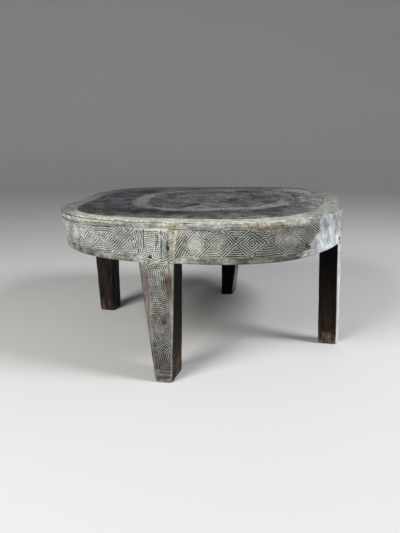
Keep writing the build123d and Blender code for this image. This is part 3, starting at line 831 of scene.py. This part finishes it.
outer_edge = wall_xy(TOP_Z, TOP_ROUND)
rim_shades = border_shades(outer_edge, 0.0)
for phi in np.linspace(0, 90, 10):
    p = math.radians(phi)
    z = TOP_Z - TOP_ROUND + TOP_ROUND * math.sin(p)
    near = np.abs(z - 416.6 - 0.9 * (ring_noise(S, 0 * S, 50, 1, 93) - 0.5) * 2)
    strength = spot(S, -430, -60, 20) * (0.45 + 0.55 * ring_noise(S, 0 * S, 26, 1, 94)) + 0.9 * spot(S, -76, -58, 3)
    strength = np.maximum(strength, 0.35 * (1 - spot(S, -430, -60, 20)) * smooth(0.5, 0.7, ring_noise(S, 0 * S, 40, 1, 95)))
    cut = np.clip(strength, 0, 1) * (1 - smooth(0.6, 1.6, near))
    chips = smooth(0.70, 0.92, ring_noise(S, 0 * S + phi / 30, 11, 1, 96)) * smooth(0.45, 0.8, ring_noise(S, 0 * S, 70, 1, 97))
    wear = 0.6 * hewn(S, z) + 1.0 * chips * math.sin(2 * p) + 0.9 * cut
    wear = wear + 0.5 * math.sin(2 * p) * ring_noise(S, 0 * S, 85, 1, 98)
    g = smooth(0.05, 0.70, math.sin(p))
    shades = [a * (1 - g) + b * g for a, b in zip(band_shades(S, 414.0), rim_shades)]
    # painted shade: the rounded rim is darkened at mid-turn, against the light it catches
    shades[0] = shades[0] * (1 - 0.24 * math.sin(2 * p)) * (0.74 + 0.52 * ring_noise(S, 0 * S + phi / 30, 4, 1, 74))
    add_row(wall_xy(z, TOP_ROUND * (1 - math.cos(p)) + wear * math.cos(p)), z - wear * math.sin(p), v,
            cut, shades, spot(S, *PLAIN, 10) * (1 - g), z - TOP_Z, 0.6)
    v += 1.3
BORDER_ROWS = 22
for i in range(1, BORDER_ROWS + 1):
    f = i / BORDER_ROWS
    ragged = 0.3 * smooth(0.62, 0.95, ring_noise(S, 0 * S, 7, 1, 101)) + 0.15 * ring_noise(S, 0 * S, 18, 1, 102) - 0.75
    inner = P_EDGE + N2 * (ragged * smooth(0.7, 1.0, f))[:, None]
    xy = outer_edge + (inner - outer_edge) * f
    cuts = np.abs(ring_noise(S, f * 56 + 0 * S, 26, 7, 103) - 0.5) * 2
    depth = 0.18 + 0.75 * noise(xy[:, 0] / 42, xy[:, 1] / 36, 104) + 0.40 * cuts
    depth = depth + 0.9 * smooth(0.76, 1.0, f) * (0.7 + 0.6 * noise(S / 5, 0 * S, 105))
    scratch = smooth(0.74, 0.9, ring_noise(S, f * 56 + 0 * S, 30, 2.6, 106))
    add_row(xy, TOP_Z - depth - 0.4 * scratch, v, 0.45 * scratch, border_shades(xy, f), 0.0, 56 * f, 0.55)
    v += 2.4
fine_rows = len(rows_xyz)

# inside of the ring, on every fourth column
pick = slice(0, FINE, 4)
E, L, B, SC, NC = P_EDGE[pick], P_LEDGE[pick], (wall_xy(RIM_Z, ROUND_LOW))[pick], S[pick], N2[pick]
coarse_rows = []
for z in (417.0, 412.0, 404.0, 396.0, 388.3):
    # dirt and lime have closed most of the gap round the top
    wob = 0.25 * noise(SC / 12, z / 12 + 0 * SC, 111) - 0.94 * (z > 410)
    v += 6
    add_row(E + NC * wob[:, None], z, v, 0.0, (ring_attr["tone"][fine_rows - 1][::4] * (1.0 if z > 415 else 0.6), 0.3, 0.2, 0.0), 0.0, 56 + TOP_Z - z)
for i in range(1, 6):
    f = i / 5
    v += 5
    add_row(E + (L - E) * f, PANEL_Z - 0.5 * noise(SC / 14, f * 3 + 0 * SC, 112) * (i < 5) - 0.1, v, 0.0, (0.08, 0.5, 0.2, 0.0), 0.0, 90 + 24 * f)
for z in np.linspace(381, 319, 12):
    scoop = 0.3 + 1.6 * np.abs(noise(SC / 26, z / 30 + 0 * SC, 113) - 0.5) * 2 + 0.5 * noise(SC / 9, z / 11 + 0 * SC, 114)
    v += 6
    patch = 0.075 + 0.06 * ring_noise(SC, z + 0 * SC, 40, 24, 118)
    add_row(L + NC * scoop[:, None], z, v, 0.15 * noise(SC / 9, z / 9 + 0 * SC, 115), (patch, 0.6, 0.25, 0.0), 1.0, 500 - z)
UNDER = 12
for i in range(UNDER):
    f = i / UNDER
    xy = (L + NC * 0.6) + (B - L) * f
    rise = 0.1 + 0.9 * np.abs(noise(xy[:, 0] / 24, xy[:, 1] / 20, 116) - 0.5) * 2
    v += 5
    tone = 0.09 + 0.07 * f + 0.05 * ring_noise(SC, f * 60 + 0 * SC, 36, 20, 119)
    add_row(xy, RIM_Z + rise * (0.3 if i == 0 else 1.0), v, 0.0, (tone, 0.6, 0.2, 0.0), 0.0, 190 + 80 * f)
v_end = v + 5
all_rows = len(rows_xyz)

ring_verts = np.concatenate(rows_xyz)
first = np.concatenate([[0], np.cumsum([len(r) for r in rows_xyz])])
row_v = np.array(rows_v + [v_end])


def ring_uv(cols, vs, fine=True):
    """Three stacked strips of the ring's unrolled surface."""
    cols = np.asarray(cols, float) * (1 if fine else 4)
    base = np.floor(cols.min(1, keepdims=True) / (FINE / 3))
    base = np.minimum(base, 2)
    uu = (cols - base * FINE / 3) / (FINE / 3)
    return np.stack([0.004 + 0.992 * uu, (base + 0.01 + 0.97 * vs / v_end) / 3], -1)


faces, uvs = [], []
q, ra, ca = grid_faces(0, fine_rows, FINE)
faces.append(q)
uvs.append(ring_uv(ca, row_v[ra]))
q, ra, ca = grid_faces(first[fine_rows], all_rows - fine_rows, COARSE)
faces.append(q)
uvs.append(ring_uv(ca, row_v[ra + fine_rows], False))
m = np.arange(COARSE)
top_row, low_row = first[fine_rows - 1], first[fine_rows]
stitch = np.stack([top_row + (4 * m + k) % FINE for k in range(5)] + [low_row + (m + 1) % COARSE, low_row + m], 1)
cols = np.stack([4 * m + k for k in range(5)] + [4 * m + 4, 4 * m], 1)
vs = np.tile(np.array([row_v[fine_rows - 1]] * 5 + [row_v[fine_rows]] * 2), (COARSE, 1))
faces.append(stitch)
uvs.append(ring_uv(cols, vs))
last = first[all_rows - 1]
stitch = np.stack([last + m, last + (m + 1) % COARSE] + [(4 * m + 4 - k) % FINE for k in range(5)], 1)
cols = np.stack([4 * m, 4 * m + 4] + [4 * m + 4 - k for k in range(5)], 1)
vs = np.tile(np.array([row_v[all_rows - 1]] * 2 + [v_end] * 5), (COARSE, 1))
faces.append(stitch)
uvs.append(ring_uv(cols, vs))
ring = make_object("drum_ring", ring_verts, faces, uvs,
                   {k: np.concatenate(a) for k, a in ring_attr.items()}, MAT_RING, ["drum_shell"])

# ---- cross-cut top ----------------------------------------------------------------------
AROUND, DISC_ROWS = 720, 124
du = np.arange(AROUND) / AROUND * 24
EDGE = closed_curve(border_inner(PANEL_GAP), du)
PALE_RING = np.array([(-218, 20), (-205, -80), (-155, -160), (-60, -186), (40, -174), (150, -126), (212, -64),
                      (244, 20), (258, 120), (250, 220), (200, 290), (120, 325), (20, 310), (-70, 280),
                      (-150, 240), (-205, 160)], float)
ring_line = closed_curve(PALE_RING, np.linspace(0, 16, 961)[:-1])
PITH = np.array([20.0, 60.0])
ring_angle = np.arctan2(ring_line[:, 1] - PITH[1], ring_line[:, 0] - PITH[0])
ring_radius = np.hypot(*(ring_line - PITH).T)
order = np.argsort(ring_angle)
ring_angle, ring_radius = ring_angle[order], ring_radius[order]


def top_shades(x, y):
    a = np.arctan2(y - PITH[1], x - PITH[0])
    r = np.hypot(x - PITH[0], y - PITH[1])
    rr = np.interp(a, ring_angle, ring_radius, period=2 * math.pi)
    out = r - rr                                    # millimetres outside the pale ring's line
    wob = 20 * (fractal(x / 58, y / 58, 121, 3) - 0.5)
    pale = 1 - smooth(15, 29, np.abs(out + wob))
    pale = pale * (0.84 + 0.22 * noise(x / 34, y / 34, 122))
    inner = 1 - smooth(-34, -10, out + wob)
    beyond = smooth(14, 44, out + wob)
    right = smooth(170, 300, x) * (1 - smooth(290, 390, y))
    rho = r / rr * 240
    rings = noise(rho / 5.2 + 2.5 * noise(x / 45, y / 45, 123), a * 1.2, 124)
    rings = rings * (0.55 + 0.45 * noise(x / 70, y / 70, 125))
    # bent coordinates, so that no mark has a straight edge
    bx = x + 26 * (fractal(x / 44, y / 44, 126, 3) - 0.5)
    by = y + 34 * (fractal(x / 44, y / 44, 127, 3) - 0.5)
    tone = 0.078 + 0.014 * inner - 0.012 * beyond * (1 - right) + 0.090 * right * beyond + 0.060 * right * smooth(60, 110, out)
    patchy = (0.62 + 0.88 * fractal(x / 105, y / 105, 136, 3)) * (0.36 + 1.34 * fractal(x / 34, y / 30, 137, 4))
    tone = tone * (patchy + (1.05 - patchy) * 0.7 * np.clip(pale, 0, 1))
    tone = tone + 0.090 * pale * (1 - 0.25 * spot(a, 0.8, 2.4, 0.5) + 0.45 * spot(a, -0.9, 0.5, 0.4) + 0.20 * spot(a, -2.1, -1.1, 0.2)) + 0.085 * smooth(-225, -340, by) * (0.4 + 1.2 * fractal(x / 22, y / 22, 144, 3))
    dark = 0.55 * smooth(0.50, 0.66, fractal(x / 30, y / 34, 138, 3)) * beyond * (1 - 0.5 * right)
    edge_noise = fractal(x / 15, y / 20, 145, 3)
    for at_x, at_y, w_x, w_y, deep in ((-140, 190, 34, 42, 0.45), (-135, 92, 24, 40, 0.45), (124, 258, 46, 40, 0.72), (172, 250, 28, 40, 0.60),
                                       (146, 150, 13, 70, 0.62), (70, 36, 34, 50, 0.42), (112, 14, 40, 26, 0.35), (-190, -196, 62, 44, 0.50),
                                       (-290, -130, 44, 70, 0.40), (-130, -262, 60, 22, 0.45), (-66, -246, 40, 30, 0.45), (-18, -276, 46, 32, 0.42),
                                       (178, -150, 50, 24, 0.32), (250, 10, 22, 120, 0.30), (-366, -116, 26, 60, 0.40), (-60, 340, 70, 44, 0.25),
                                       (200, -290, 60, 26, 0.35), (64, 228, 26, 34, 0.30), (-175, -20, 22, 60, 0.30), (75, -302, 6, 14, 0.7)):
        far = np.hypot((bx - at_x) / w_x, (by - at_y) / w_y) + 0.5 * (edge_noise - 0.5)
        dark = np.maximum(dark, deep * (1 - smooth(0.50, 0.92, far)))
    blue = np.maximum(0.75 * spot(bx, -300, -248, 30) * spot(by, -130, 210, 40), 0.65 * spot(bx, -260, -140, 34) * spot(by, 262, 400, 30))
    blue = np.maximum(blue, 0.60 * bump_at(bx, by, 50, 190, 110, 86))
    blue = np.maximum(blue, 0.45 * bump_at(bx, by, -130, -60, 90, 70))
    blue = np.maximum(blue, 0.45 * bump_at(bx, by, -40, -230, 40, 60)) * (0.5 + 0.8 * noise(x / 30, y / 30, 139))
    pink = np.maximum(0.75 * bump_at(bx, by, 52, 10, 17, 50), 0.45 * bump_at(bx, by, 76, 50, 30, 44))
    pink = np.maximum(pink, 0.50 * smooth(0.5, 0.8, noise(x / 46, y / 46, 141)) * spot(bx, -350, -230, 20))
    pink = np.maximum(pink, 0.08 * smooth(0.5, 0.8, noise(x / 50, y / 50, 142)) * right)
    warm = (0.12 + 0.26 * smooth(0.5, 0.8, noise(x / 55, y / 55, 128)) * (1 - inner * 0.5)) * (1 - 0.3 * np.clip(pale, 0, 1)) + 0.10 * pale
    warm = np.maximum(warm, 0.34 * pale * spot(bx, -240, -190, 20) * spot(by, -70, 190, 30))
    warm = np.maximum(warm, 0.75 * bump_at(bx, by, -370, -110, 26, 60))
    # the open crack, and fine checks that run out from the pith
    ca, cb = np.array([-95.0, -140.0]), np.array([-32.0, -57.0])
    d = cb - ca
    t = ((x - ca[0]) * d[0] + (y - ca[1]) * d[1]) / (d @ d)
    off = ((x - ca[0]) * d[1] - (y - ca[1]) * d[0]) / np.hypot(*d) + 1.4 * np.sin(t * 7)
    swell = 7.0 + 4.2 * smooth(0.5, 0.85, t)
    across = np.abs(off) / (swell * np.sqrt(np.clip(1 - (2 * t - 1) ** 2, 0.03, 1)))
    crack = (1 - smooth(0.45, 1.1, across)) * spot(t, 0.01, 0.99, 0.02)
    shadow = (1 - smooth(1.12, 1.42, across)) * spot(t, 0.01, 0.99, 0.02)
    checks = np.zeros_like(x)
    for k, (angle, r0, r1) in enumerate(((0.35, 170, 260), (1.25, 60, 130), (2.2, 110, 220), (2.9, 220, 300),
                                         (3.9, 30, 90), (4.75, 250, 330), (5.5, 110, 210), (5.15, 250, 320))):
        miss = (np.mod(a - angle + math.pi, 2 * math.pi) - math.pi) * r + 16 * (fractal(r / 34, 0 * r + k, 129, 3) - 0.5)
        checks = np.maximum(checks, (1 - smooth(0.4, 2.2, np.abs(miss))) * spot(r, r0, r1, 20))
    # painted shade: the checks are darkened, and the crack and its lip are painted near black
    tone = tone * (1 - dark) * (1 - 0.45 * checks)
    tone = tone * (1 - shadow) + 0.013 * shadow
    depth = 0.15 + 0.9 * noise(x / 55, y / 48, 131) + 0.35 * np.abs(noise(x / 16, y / 19, 132) - 0.5) * 2
    depth = depth + 0.40 * rings + 2.6 * crack + 0.8 * checks - 0.12 * np.clip(pale, 0, 1)
    return (np.clip(depth, 0, None), tone, rings, np.clip(warm, 0, 1), np.clip(pink, 0, 1), np.clip(blue, 0, 1),
            0.6 * np.clip(pale, 0, 1) * (1 - shadow))


disc_rows, disc_attr, disc_r = [], {k: [] for k in ("tone", "ring", "warm", "pink", "blue", "calm")}, []


def disc_row(xy, z, shades):
    disc_rows.append(np.column_stack([xy, np.broadcast_to(z, len(xy))]))
    for key, value in zip(disc_attr, shades):
        disc_attr[key].append(np.broadcast_to(np.asarray(value, float), len(xy)))


EN = np.roll(EDGE, -1, 0) - np.roll(EDGE, 1, 0)
EN /= np.hypot(*EN.T)[:, None]
EN = np.stack([EN[:, 1], -EN[:, 0]], 1)
disc_uv = []
for i in range(1, DISC_ROWS + 1):
    f = i / DISC_ROWS
    xy = (EDGE - EN * 1.0) * f
    depth, *shades = top_shades(xy[:, 0], xy[:, 1])
    depth = depth * (1 - 0.75 * smooth(0.96, 1.0, f))
    disc_row(xy, PANEL_TOP - depth, shades)
rim_tone = shades[0]
for phi in (60, 30, 0):
    p = math.radians(phi)
    # painted shade: the top's rounded edge is darker as it turns down into the gap
    disc_row(EDGE - EN * ((1 - math.cos(p)) + 0.2 * noise(du * 9, 0 * du, 133)[:, None]), PANEL_TOP - 1 + math.sin(p) - 0.5,
             (rim_tone * (0.92 + 0.08 * math.sin(p)), *shades[1:]))
for z in (408.0, 398.0, 389.5):
    disc_row(EDGE - EN * 0.1, z, (0.06, 0.3, 0.4, 0.1, 0.0, 0.0))
LOW_ROWS = 18
for i in range(LOW_ROWS):
    f = 1 - (i + 0.02) / LOW_ROWS if i else 1.0
    xy = (EDGE - EN * 0.6) * f
    rise = 0.9 * np.abs(noise(xy[:, 0] / 34, xy[:, 1] / 30, 134) - 0.5) * 2 * (i > 1)
    disc_row(xy, PANEL_Z + 0.3 + rise, (0.09 + 0.06 * fractal(xy[:, 0] / 60, xy[:, 1] / 60, 143, 3),
                                        noise(np.hypot(*xy.T) / 7, 0 * xy[:, 0], 135), 0.6, 0.2, 0.0, 0.0))
disc_n = len(disc_rows)
depth, *shades = top_shades(np.zeros(1), np.zeros(1))
disc_row(np.zeros((1, 2)), PANEL_TOP - depth, shades)
disc_row(np.zeros((1, 2)), PANEL_Z + 0.6, (0.12, 0.3, 0.6, 0.2, 0.0, 0.0))
disc_verts = np.concatenate(disc_rows)
c_top, c_low = disc_n * AROUND, disc_n * AROUND + 1
q, ra, ca = grid_faces(0, disc_n, AROUND)
q, ra, ca = q[:, ::-1], ra[:, ::-1], ca[:, ::-1]
j = np.arange(AROUND)
fan_top = np.stack([np.full(AROUND, c_top), j, (j + 1) % AROUND], 1)
lastrow = (disc_n - 1) * AROUND
fan_low = np.stack([np.full(AROUND, c_low), lastrow + (j + 1) % AROUND, lastrow + j], 1)


def disc_map(f):
    """Plan of the top on the left of the map and of its underside on the right, each face placed by its mean height.
    """
    v3 = disc_verts[f]
    low = (v3[..., 2].mean(1) < 403)[:, None]
    side = np.broadcast_to(low, f.shape)
    x = (v3[..., 0] + 400) / 800
    y = (v3[..., 1] + 400) / 800
    return np.stack([np.where(side, 0.70 + 0.29 * x, 0.005 + 0.68 * x), np.where(side, 0.70 + 0.29 * y, 0.005 + 0.68 * y)], -1)


top = make_object("top_disc", disc_verts, [q, fan_top, fan_low], [disc_map(q), disc_map(fan_top), disc_map(fan_low)],
                  {k: np.concatenate(a) for k, a in disc_attr.items()}, MAT_TOP, ["top_panel"])


# ---- legs ------------------------------------------------------------------------------------
def build_leg(name, foot, head, counts, rows, seed, face):
    """One hewn leg. counts are the columns of its outer, right, inner and left sides. face gives the
    cut depth, the tone, warm, pink and blue shades and how flat it is, for a side, across and up it."""
    foot, head = np.array(foot, float), np.array(head, float)
    zs = np.concatenate([[0.0, 0.8, 1.9, 3.4], np.linspace(5.0, RIM_Z - 0.6, rows), [RIM_Z - 0.05]])
    k = (zs / RIM_Z)[:, None, None]
    corner = foot[None] * (1 - k) + head[None] * k
    nz = len(zs)
    radius = np.stack([3.6 + 2.2 * noise(zs / 34, 0 * zs, seed + c) + 1.6 * noise(zs / 9, 0 * zs, seed + 5 + c) for c in range(4)], 1)
    radius[:, 0] += 5.5 * np.exp(-zs / 9.0)
    radius[:, 1] += 2.5 * np.exp(-zs / 7.0)
    parts, sides, across = [], [], []
    bulge = 0.8 + (2.2 - 0.8) * zs / RIM_Z
    for i in range(4):
        a, b = corner[:, i], corner[:, (i + 1) % 4]
        width = np.hypot(*(b - a).T)
        d = (b - a) / width[:, None]
        out = np.stack([d[:, 1], -d[:, 0]], 1)
        f = np.linspace(0, 1, counts[i])
        start, stop = radius[:, i], width - radius[:, (i + 1) % 4]
        dist = start[:, None] + (stop - start)[:, None] * f[None]
        pts = a[:, None] + d[:, None] * dist[..., None]
        if i == 0:
            arch = 4 * (dist / width[:, None]) * (1 - dist / width[:, None])
            pts = pts + out[:, None] * (bulge[:, None] * arch)[..., None]
        parts.append(pts)
        sides.append(np.full(dist.shape, i))
        across.append(width[:, None] - dist)
        # rounded corner to the next side
        nxt = corner[:, (i + 2) % 4] - b
        nxt /= np.hypot(*nxt.T)[:, None]
        r = radius[:, (i + 1) % 4][:, None]
        p0, p2 = b - d * r, b + nxt * r
        for g in (0.25, 0.5, 0.75):
            c = (1 - g) ** 2 * p0 + 2 * g * (1 - g) * b + g * g * p2
            parts.append(c[:, None])
            sides.append(np.full((nz, 1), i if g < 0.6 else (i + 1) % 4))
            w2 = np.hypot(*(corner[:, (i + 2) % 4] - b).T)[:, None]
            across.append(r * (1 - g) if g < 0.6 else w2 - r * (g - 0.5))
    xy = np.concatenate(parts, 1)
    sides, across = np.concatenate(sides, 1), np.concatenate(across, 1)
    nc = xy.shape[1]
    zz = np.broadcast_to(zs[:, None], (nz, nc))
    tangent = np.roll(xy, -1, 1) - np.roll(xy, 1, 1)
    tangent /= np.maximum(np.hypot(tangent[..., 0], tangent[..., 1]), 1e-6)[..., None]
    out = np.stack([tangent[..., 1], -tangent[..., 0]], -1)
    where = across + 200 * sides
    tool = np.abs(noise(where / 17, zz / 62, seed + 20) - 0.5) * 2
    hew = 0.10 + 0.95 * noise(where / 33, zz / 95, seed + 21) + 0.55 * tool + 0.22 * noise(where / 3.5, zz / 30, seed + 22)
    cut, shades, flat = face(sides, across, zz)
    hew = hew * (1 - flat) + 0.30 * flat
    join = smooth(300, 316, zz)
    hew = hew * (1 - 0.7 * join)
    under = np.where(zz < LEG_EASE, LEG_EASE - np.sqrt(np.clip(LEG_EASE ** 2 - (LEG_EASE - zz) ** 2, 0, None)), 0)
    lip = 0.35 * smooth(RIM_Z - 1.0, RIM_Z - 0.1, zz)
    xy = xy - out * (hew + 1.35 * cut + under + lip)[..., None]
    verts = [np.dstack([xy, zz]).reshape(-1, 3)]
    attr = {k: [np.broadcast_to(value, zz.shape)] for k, value in zip(("cut", "tone", "warm", "pink", "blue", "calm"), (cut, *shades, flat))}
    end_shades = (0.0, 0.055, 0.6, 0.1, 0.0, 0.0)
    faces, uvs = [], []
    q, ra, ca = grid_faces(0, nz, nc)
    run = np.concatenate([[0], np.cumsum(np.hypot(*np.diff(np.vstack([xy[nz // 2], xy[nz // 2][:1]]), axis=0).T))])
    faces.append(q)
    span = max(run[-1], 1.0)
    uvs.append(np.stack([0.01 + 0.86 * run[ca] / span, 0.01 + 0.98 * zs[ra] / RIM_Z], -1))
    count = nz * nc
    for z, at, low in ((0.0, 0, True), (RIM_Z - 0.05, nz - 1, False)):
        ring0 = np.arange(nc) + at * nc
        mid = xy[at].mean(0)
        here = ring0
        for g in (0.72, 0.42, 0.16):
            pts = mid + (xy[at] - mid) * g
            lift = 0.5 * noise(pts[:, 0] / 11, pts[:, 1] / 11, seed + 40) * (1 if low else -1) * (0.5 if low else 0.2)
            verts.append(np.column_stack([pts, np.full(nc, z) + np.abs(lift) * (1 if low else -1)]))
            for key, value in zip(attr, end_shades):
                attr[key].append(np.full(nc, value))
            nxt = np.arange(nc) + count
            count += nc
            a, b = here, nxt
            quad = np.stack([b, np.roll(b, -1), np.roll(a, -1), a], 1) if low else np.stack([a, np.roll(a, -1), np.roll(b, -1), b], 1)
            faces.append(quad)
            here = nxt
        verts.append(np.array([[mid[0], mid[1], z]]))
        for key, value in zip(attr, end_shades):
            attr[key].append(np.full(1, value))
        tri = np.stack([np.full(nc, count), np.roll(here, -1), here], 1) if low else np.stack([np.full(nc, count), here, np.roll(here, -1)], 1)
        faces.append(tri)
        count += 1
    allv = np.concatenate(verts)
    lo, hi = allv[:, :2].min(0), allv[:, :2].max(0)
    for f in faces[1:]:
        pv = allv[f]
        up = (pv[..., 2].mean(1) > 150)[:, None]
        un = (pv[..., :2] - lo) / (hi - lo)
        uvs.append(np.stack([0.89 + 0.10 * un[..., 0], np.where(up, 0.52, 0.02) + 0.40 * un[..., 1]], -1))
    return make_object(name + "_hewn", allv, faces, uvs, {k: np.concatenate([x.ravel() for x in v]) for k, v in attr.items()},
                       MAT_LEG, [name])


def front_face(side, t, z):
    """The carved front leg. t is the distance from the right-hand edge of its outer face."""
    outer = (side == 0) * 1.0
    left = np.interp(z, [0, 25, 50, 90, 150, 200, 250, 300, 311, 317], [44, 44, 48, 50, 54, 58, 62, 65, 72, 92])
    left = left + 2.5 * (noise(z / 9, 0 * z, 211) - 0.5)
    right = np.interp(z, [0, 25, 60, 100, 150, 210, 260, 300, 317], [4, 4, 5, 10, 14, 17, 22, 20, 16])
    right = right + 2.0 * (noise(z / 9, 0 * z, 212) - 0.5)
    in_strip = outer * spot(t, right, left, 1.2)
    cut = WINDING_FRONT(t, z) * in_strip * spot(z, 36, 330, 1.5)
    bars = outer * spot(t, 5, 34, 1.0) * groove(z - 24.6, 4.4, 0.5) * spot(z, 24, 36, 1.0)
    cut = np.maximum(cut, bars)
    cut = np.clip(cut * (0.88 + 0.24 * noise(t / 26, z / 30, 203)) * (0.86 + 0.26 * noise(t / 4, z / 4, 204)), 0, 1)
    tone = 0.15 + 0.13 * smooth(10, 150, z) + 0.16 * smooth(230, 317, z)
    tone = tone * (0.76 + 0.48 * noise(t / 22, z / 34, 205))
    bare_left, bare_right = smooth(-1, 4, t - left), smooth(-1, 4, right - t)
    streaky = noise(t / 4, z / 60, 206)
    tone = tone * (1 - bare_left) + bare_left * (0.065 + 0.11 * streaky) * (1 + 0.5 * smooth(280, 312, z))
    grey_right = 0.15 + 0.05 * spot(z, 150, 208, 18) + 0.12 * smooth(275, 317, z)
    tone = tone * (1 - bare_right) + bare_right * grey_right * (0.74 + 0.52 * noise(t / 5, z / 26, 216))
    pink = bare_left * 0.55 + bare_right * 0.40 * spot(z, 145, 212, 16)
    patch = spot(t + 4 * (noise(t / 5, z / 12, 217) - 0.5), 7, 17, 5) * spot(z + 22 * (noise(t / 5, z / 18, 213) - 0.5), 242, 276, 16)
    tone = tone * (1 - 0.42 * patch)
    warm = 0.10 + 0.50 * patch + 0.25 * smooth(0.5, 0.8, noise(t / 16, z / 40, 209)) * (1 - in_strip)
    pink = np.maximum(pink, 0.45 * patch)
    tone = tone + 0.12 * (1 - smooth(0.8, 2.4, np.abs(t - 4.5))) * (z > 22) * (0.4 + 0.8 * noise(z / 24, 0 * z, 210))
    stain = spot(z, 8, 17, 4) * spot(t, 8, 38, 6) * smooth(0.2, 0.55, noise(t / 7, z / 5, 214))
    tone = tone * (1 - 0.60 * stain)
    blue = 0.25 * in_strip * smooth(0.4, 0.8, noise(t / 20, z / 26, 215))
    # painted shade: the sides other than the outer face are near black, darker higher up under the ring, with dust
    # near the foot and paler streaks by the edge
    side_shade_and_dust = (0.002 + 0.009 * noise(t / 6, z / 60, 207)) * (1.4 - 1.3 * smooth(60, 300, z))
    side_shade_and_dust = side_shade_and_dust + 0.150 * (1 - smooth(0, 120, z)) * fractal(t / 9, z / 20, 208, 3) ** 2.4
    side_shade_and_dust = side_shade_and_dust + 0.090 * smooth(0.45, 0.85, noise(t / 3, z / 34, 218)) * (1 - smooth(1, 7, t)) * (1 - 0.6 * smooth(150, 300, z))
    tone = np.where(side == 0, tone, side_shade_and_dust)
    return cut, (tone, np.where(side == 0, np.clip(warm, 0, 1), 0.2), pink * outer, blue), 0.75 * in_strip


def plain_face(pale, side_shade_and_dust, seed, cool=0.0, strip=0.0, strip_side=3, fade=1.0, dust=7.0, rubbed=0.72):
    def face(side, t, z):
        outer = side == 0
        worn = smooth(0.42, 0.66, fractal(t / 15, z / 46, seed + 4, 3) + 0.10 * smooth(120, 0, z))
        lit = pale * (0.60 + 0.80 * noise(t / 7, z / 60, seed)) * (1 - rubbed * worn)
        # painted shade: the sides other than the outer face are near black, darker higher up under the ring as fade
        # sets, with dust near the foot and paler streaks by the edge
        other = side_shade_and_dust * (0.45 + 1.10 * noise(t / 8, z / 70, seed + 1)) * (1 + fade * (0.7 - 1.55 * smooth(30, 300, z)))
        other = other + dust * side_shade_and_dust * (1 - smooth(0, 60, z)) * fractal(t / 12, z / 16, seed + 2, 3) ** 2
        other = other + 3.0 * side_shade_and_dust * smooth(0.5, 0.9, noise(t / 3, z / 30, seed + 5)) * (1 - smooth(1, 7, t))
        other = other + 0.035 * (1 - smooth(2, 7, z)) * noise(t / 5, z / 5, seed + 7)
        # painted light: a bluish highlight strip up the strip side, fading out near the foot
        strip_highlight = (side == strip_side) * (0.5 + 0.5 * smooth(0.22, 0.6, noise(t / 9, z / 60, seed + 3))) * smooth(6, 50, z + 20 * noise(t / 6, z / 12, seed + 8))
        other = np.where(side == strip_side, np.maximum(other, strip * strip_highlight), other)
        tone = np.where(outer, lit, other)
        blue = np.where(outer, cool, np.clip(1.3 * strip_highlight, 0, 0.95) * (strip > 0))
        return 0.0 * t, (tone, np.where(outer, 0.15 + 0.3 * noise(t / 16, z / 50, seed + 6), 0.2), 0.0 * t, blue), 0.0 * t
    return face


build_leg("leg_front", *LEGS["leg_front"], (84, 22, 26, 22), 250, 300, front_face)
build_leg("leg_right", *LEGS["leg_right"], (26, 24, 20, 24), 110, 330, plain_face(0.58, 0.0075, 331, 0.1, dust=42.0, rubbed=0.12))
build_leg("leg_back", *LEGS["leg_back"], (30, 24, 26, 24), 110, 360, plain_face(0.34, 0.001, 361, 0.0, 0.47, 3))
build_leg("leg_left", *LEGS["leg_left"], (30, 22, 28, 22), 110, 390, plain_face(0.36, 0.014, 391, 0.0, 0.036, 2, 0.2))

# ---- pegs stay as the CAD has them ------------------------------------------------------------
for name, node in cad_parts.items():
    if name.endswith("_pegs"):
        node.data.materials.clear()
        node.data.materials.append(MAT_PEG)

# ---- floor and light ---------------------------------------------------------------------------
profile = [(0.0, 0.0), (3.0, 0.0), (4.5, 0.0), (5.5, 0.12), (6.3, 0.6), (6.9, 1.5), (7.2, 2.8), (7.3, 5.0)]
turns = 96
verts = [(0.0, 0.0, 0.0)]
for r, z in profile[1:]:
    verts += [(r * math.cos(2 * math.pi * i / turns), r * math.sin(2 * math.pi * i / turns), z) for i in range(turns)]
faces = [(0, 1 + i, 1 + (i + 1) % turns) for i in range(turns)]
for k in range(len(profile) - 2):
    a, b = 1 + k * turns, 1 + (k + 1) * turns
    faces += [(a + i, b + i, b + (i + 1) % turns, a + (i + 1) % turns) for i in range(turns)]
floor_mesh = bpy.data.meshes.new("floor")
floor_mesh.from_pydata(verts, [], faces)
floor_mesh.polygons.foreach_set("use_smooth", [True] * len(faces))
floor = bpy.data.objects.new("floor", floor_mesh)
scene.collection.objects.link(floor)
paint = bpy.data.materials.new("floor_paint")
paint.use_nodes = True
paint_shader = paint.node_tree.nodes["Principled BSDF"]
paint_shader.inputs["Base Color"].default_value = (0.70, 0.70, 0.69, 1)
paint_shader.inputs["Roughness"].default_value = 0.9
floor_mesh.materials.append(paint)


def area(name, place, aim, size, power, colour=(1, 1, 1)):
    data = bpy.data.lights.new(name, "AREA")
    data.shape, data.size, data.energy, data.color = "DISK", size, power, colour
    lamp = bpy.data.objects.new(name, data)
    scene.collection.objects.link(lamp)
    lamp.location = place
    lamp.rotation_euler = (Vector(aim) - Vector(place)).to_track_quat("-Z", "Y").to_euler()


area("key", (-2.0, -2.2, 2.2), (0, 0, 0.3), 1.5, 104, (1.0, 0.99, 0.97))
area("side", (2.4, -1.0, 2.5), (0.1, 0, 0.3), 1.2, 90, (0.96, 0.98, 1.0))
world = bpy.data.worlds.new("world")
scene.world = world
world.use_nodes = True
world.node_tree.nodes["Background"].inputs["Color"].default_value = (0.95, 0.97, 1.0, 1)
world.node_tree.nodes["Background"].inputs["Strength"].default_value = 0.09
scene.view_settings.view_transform = "Standard"
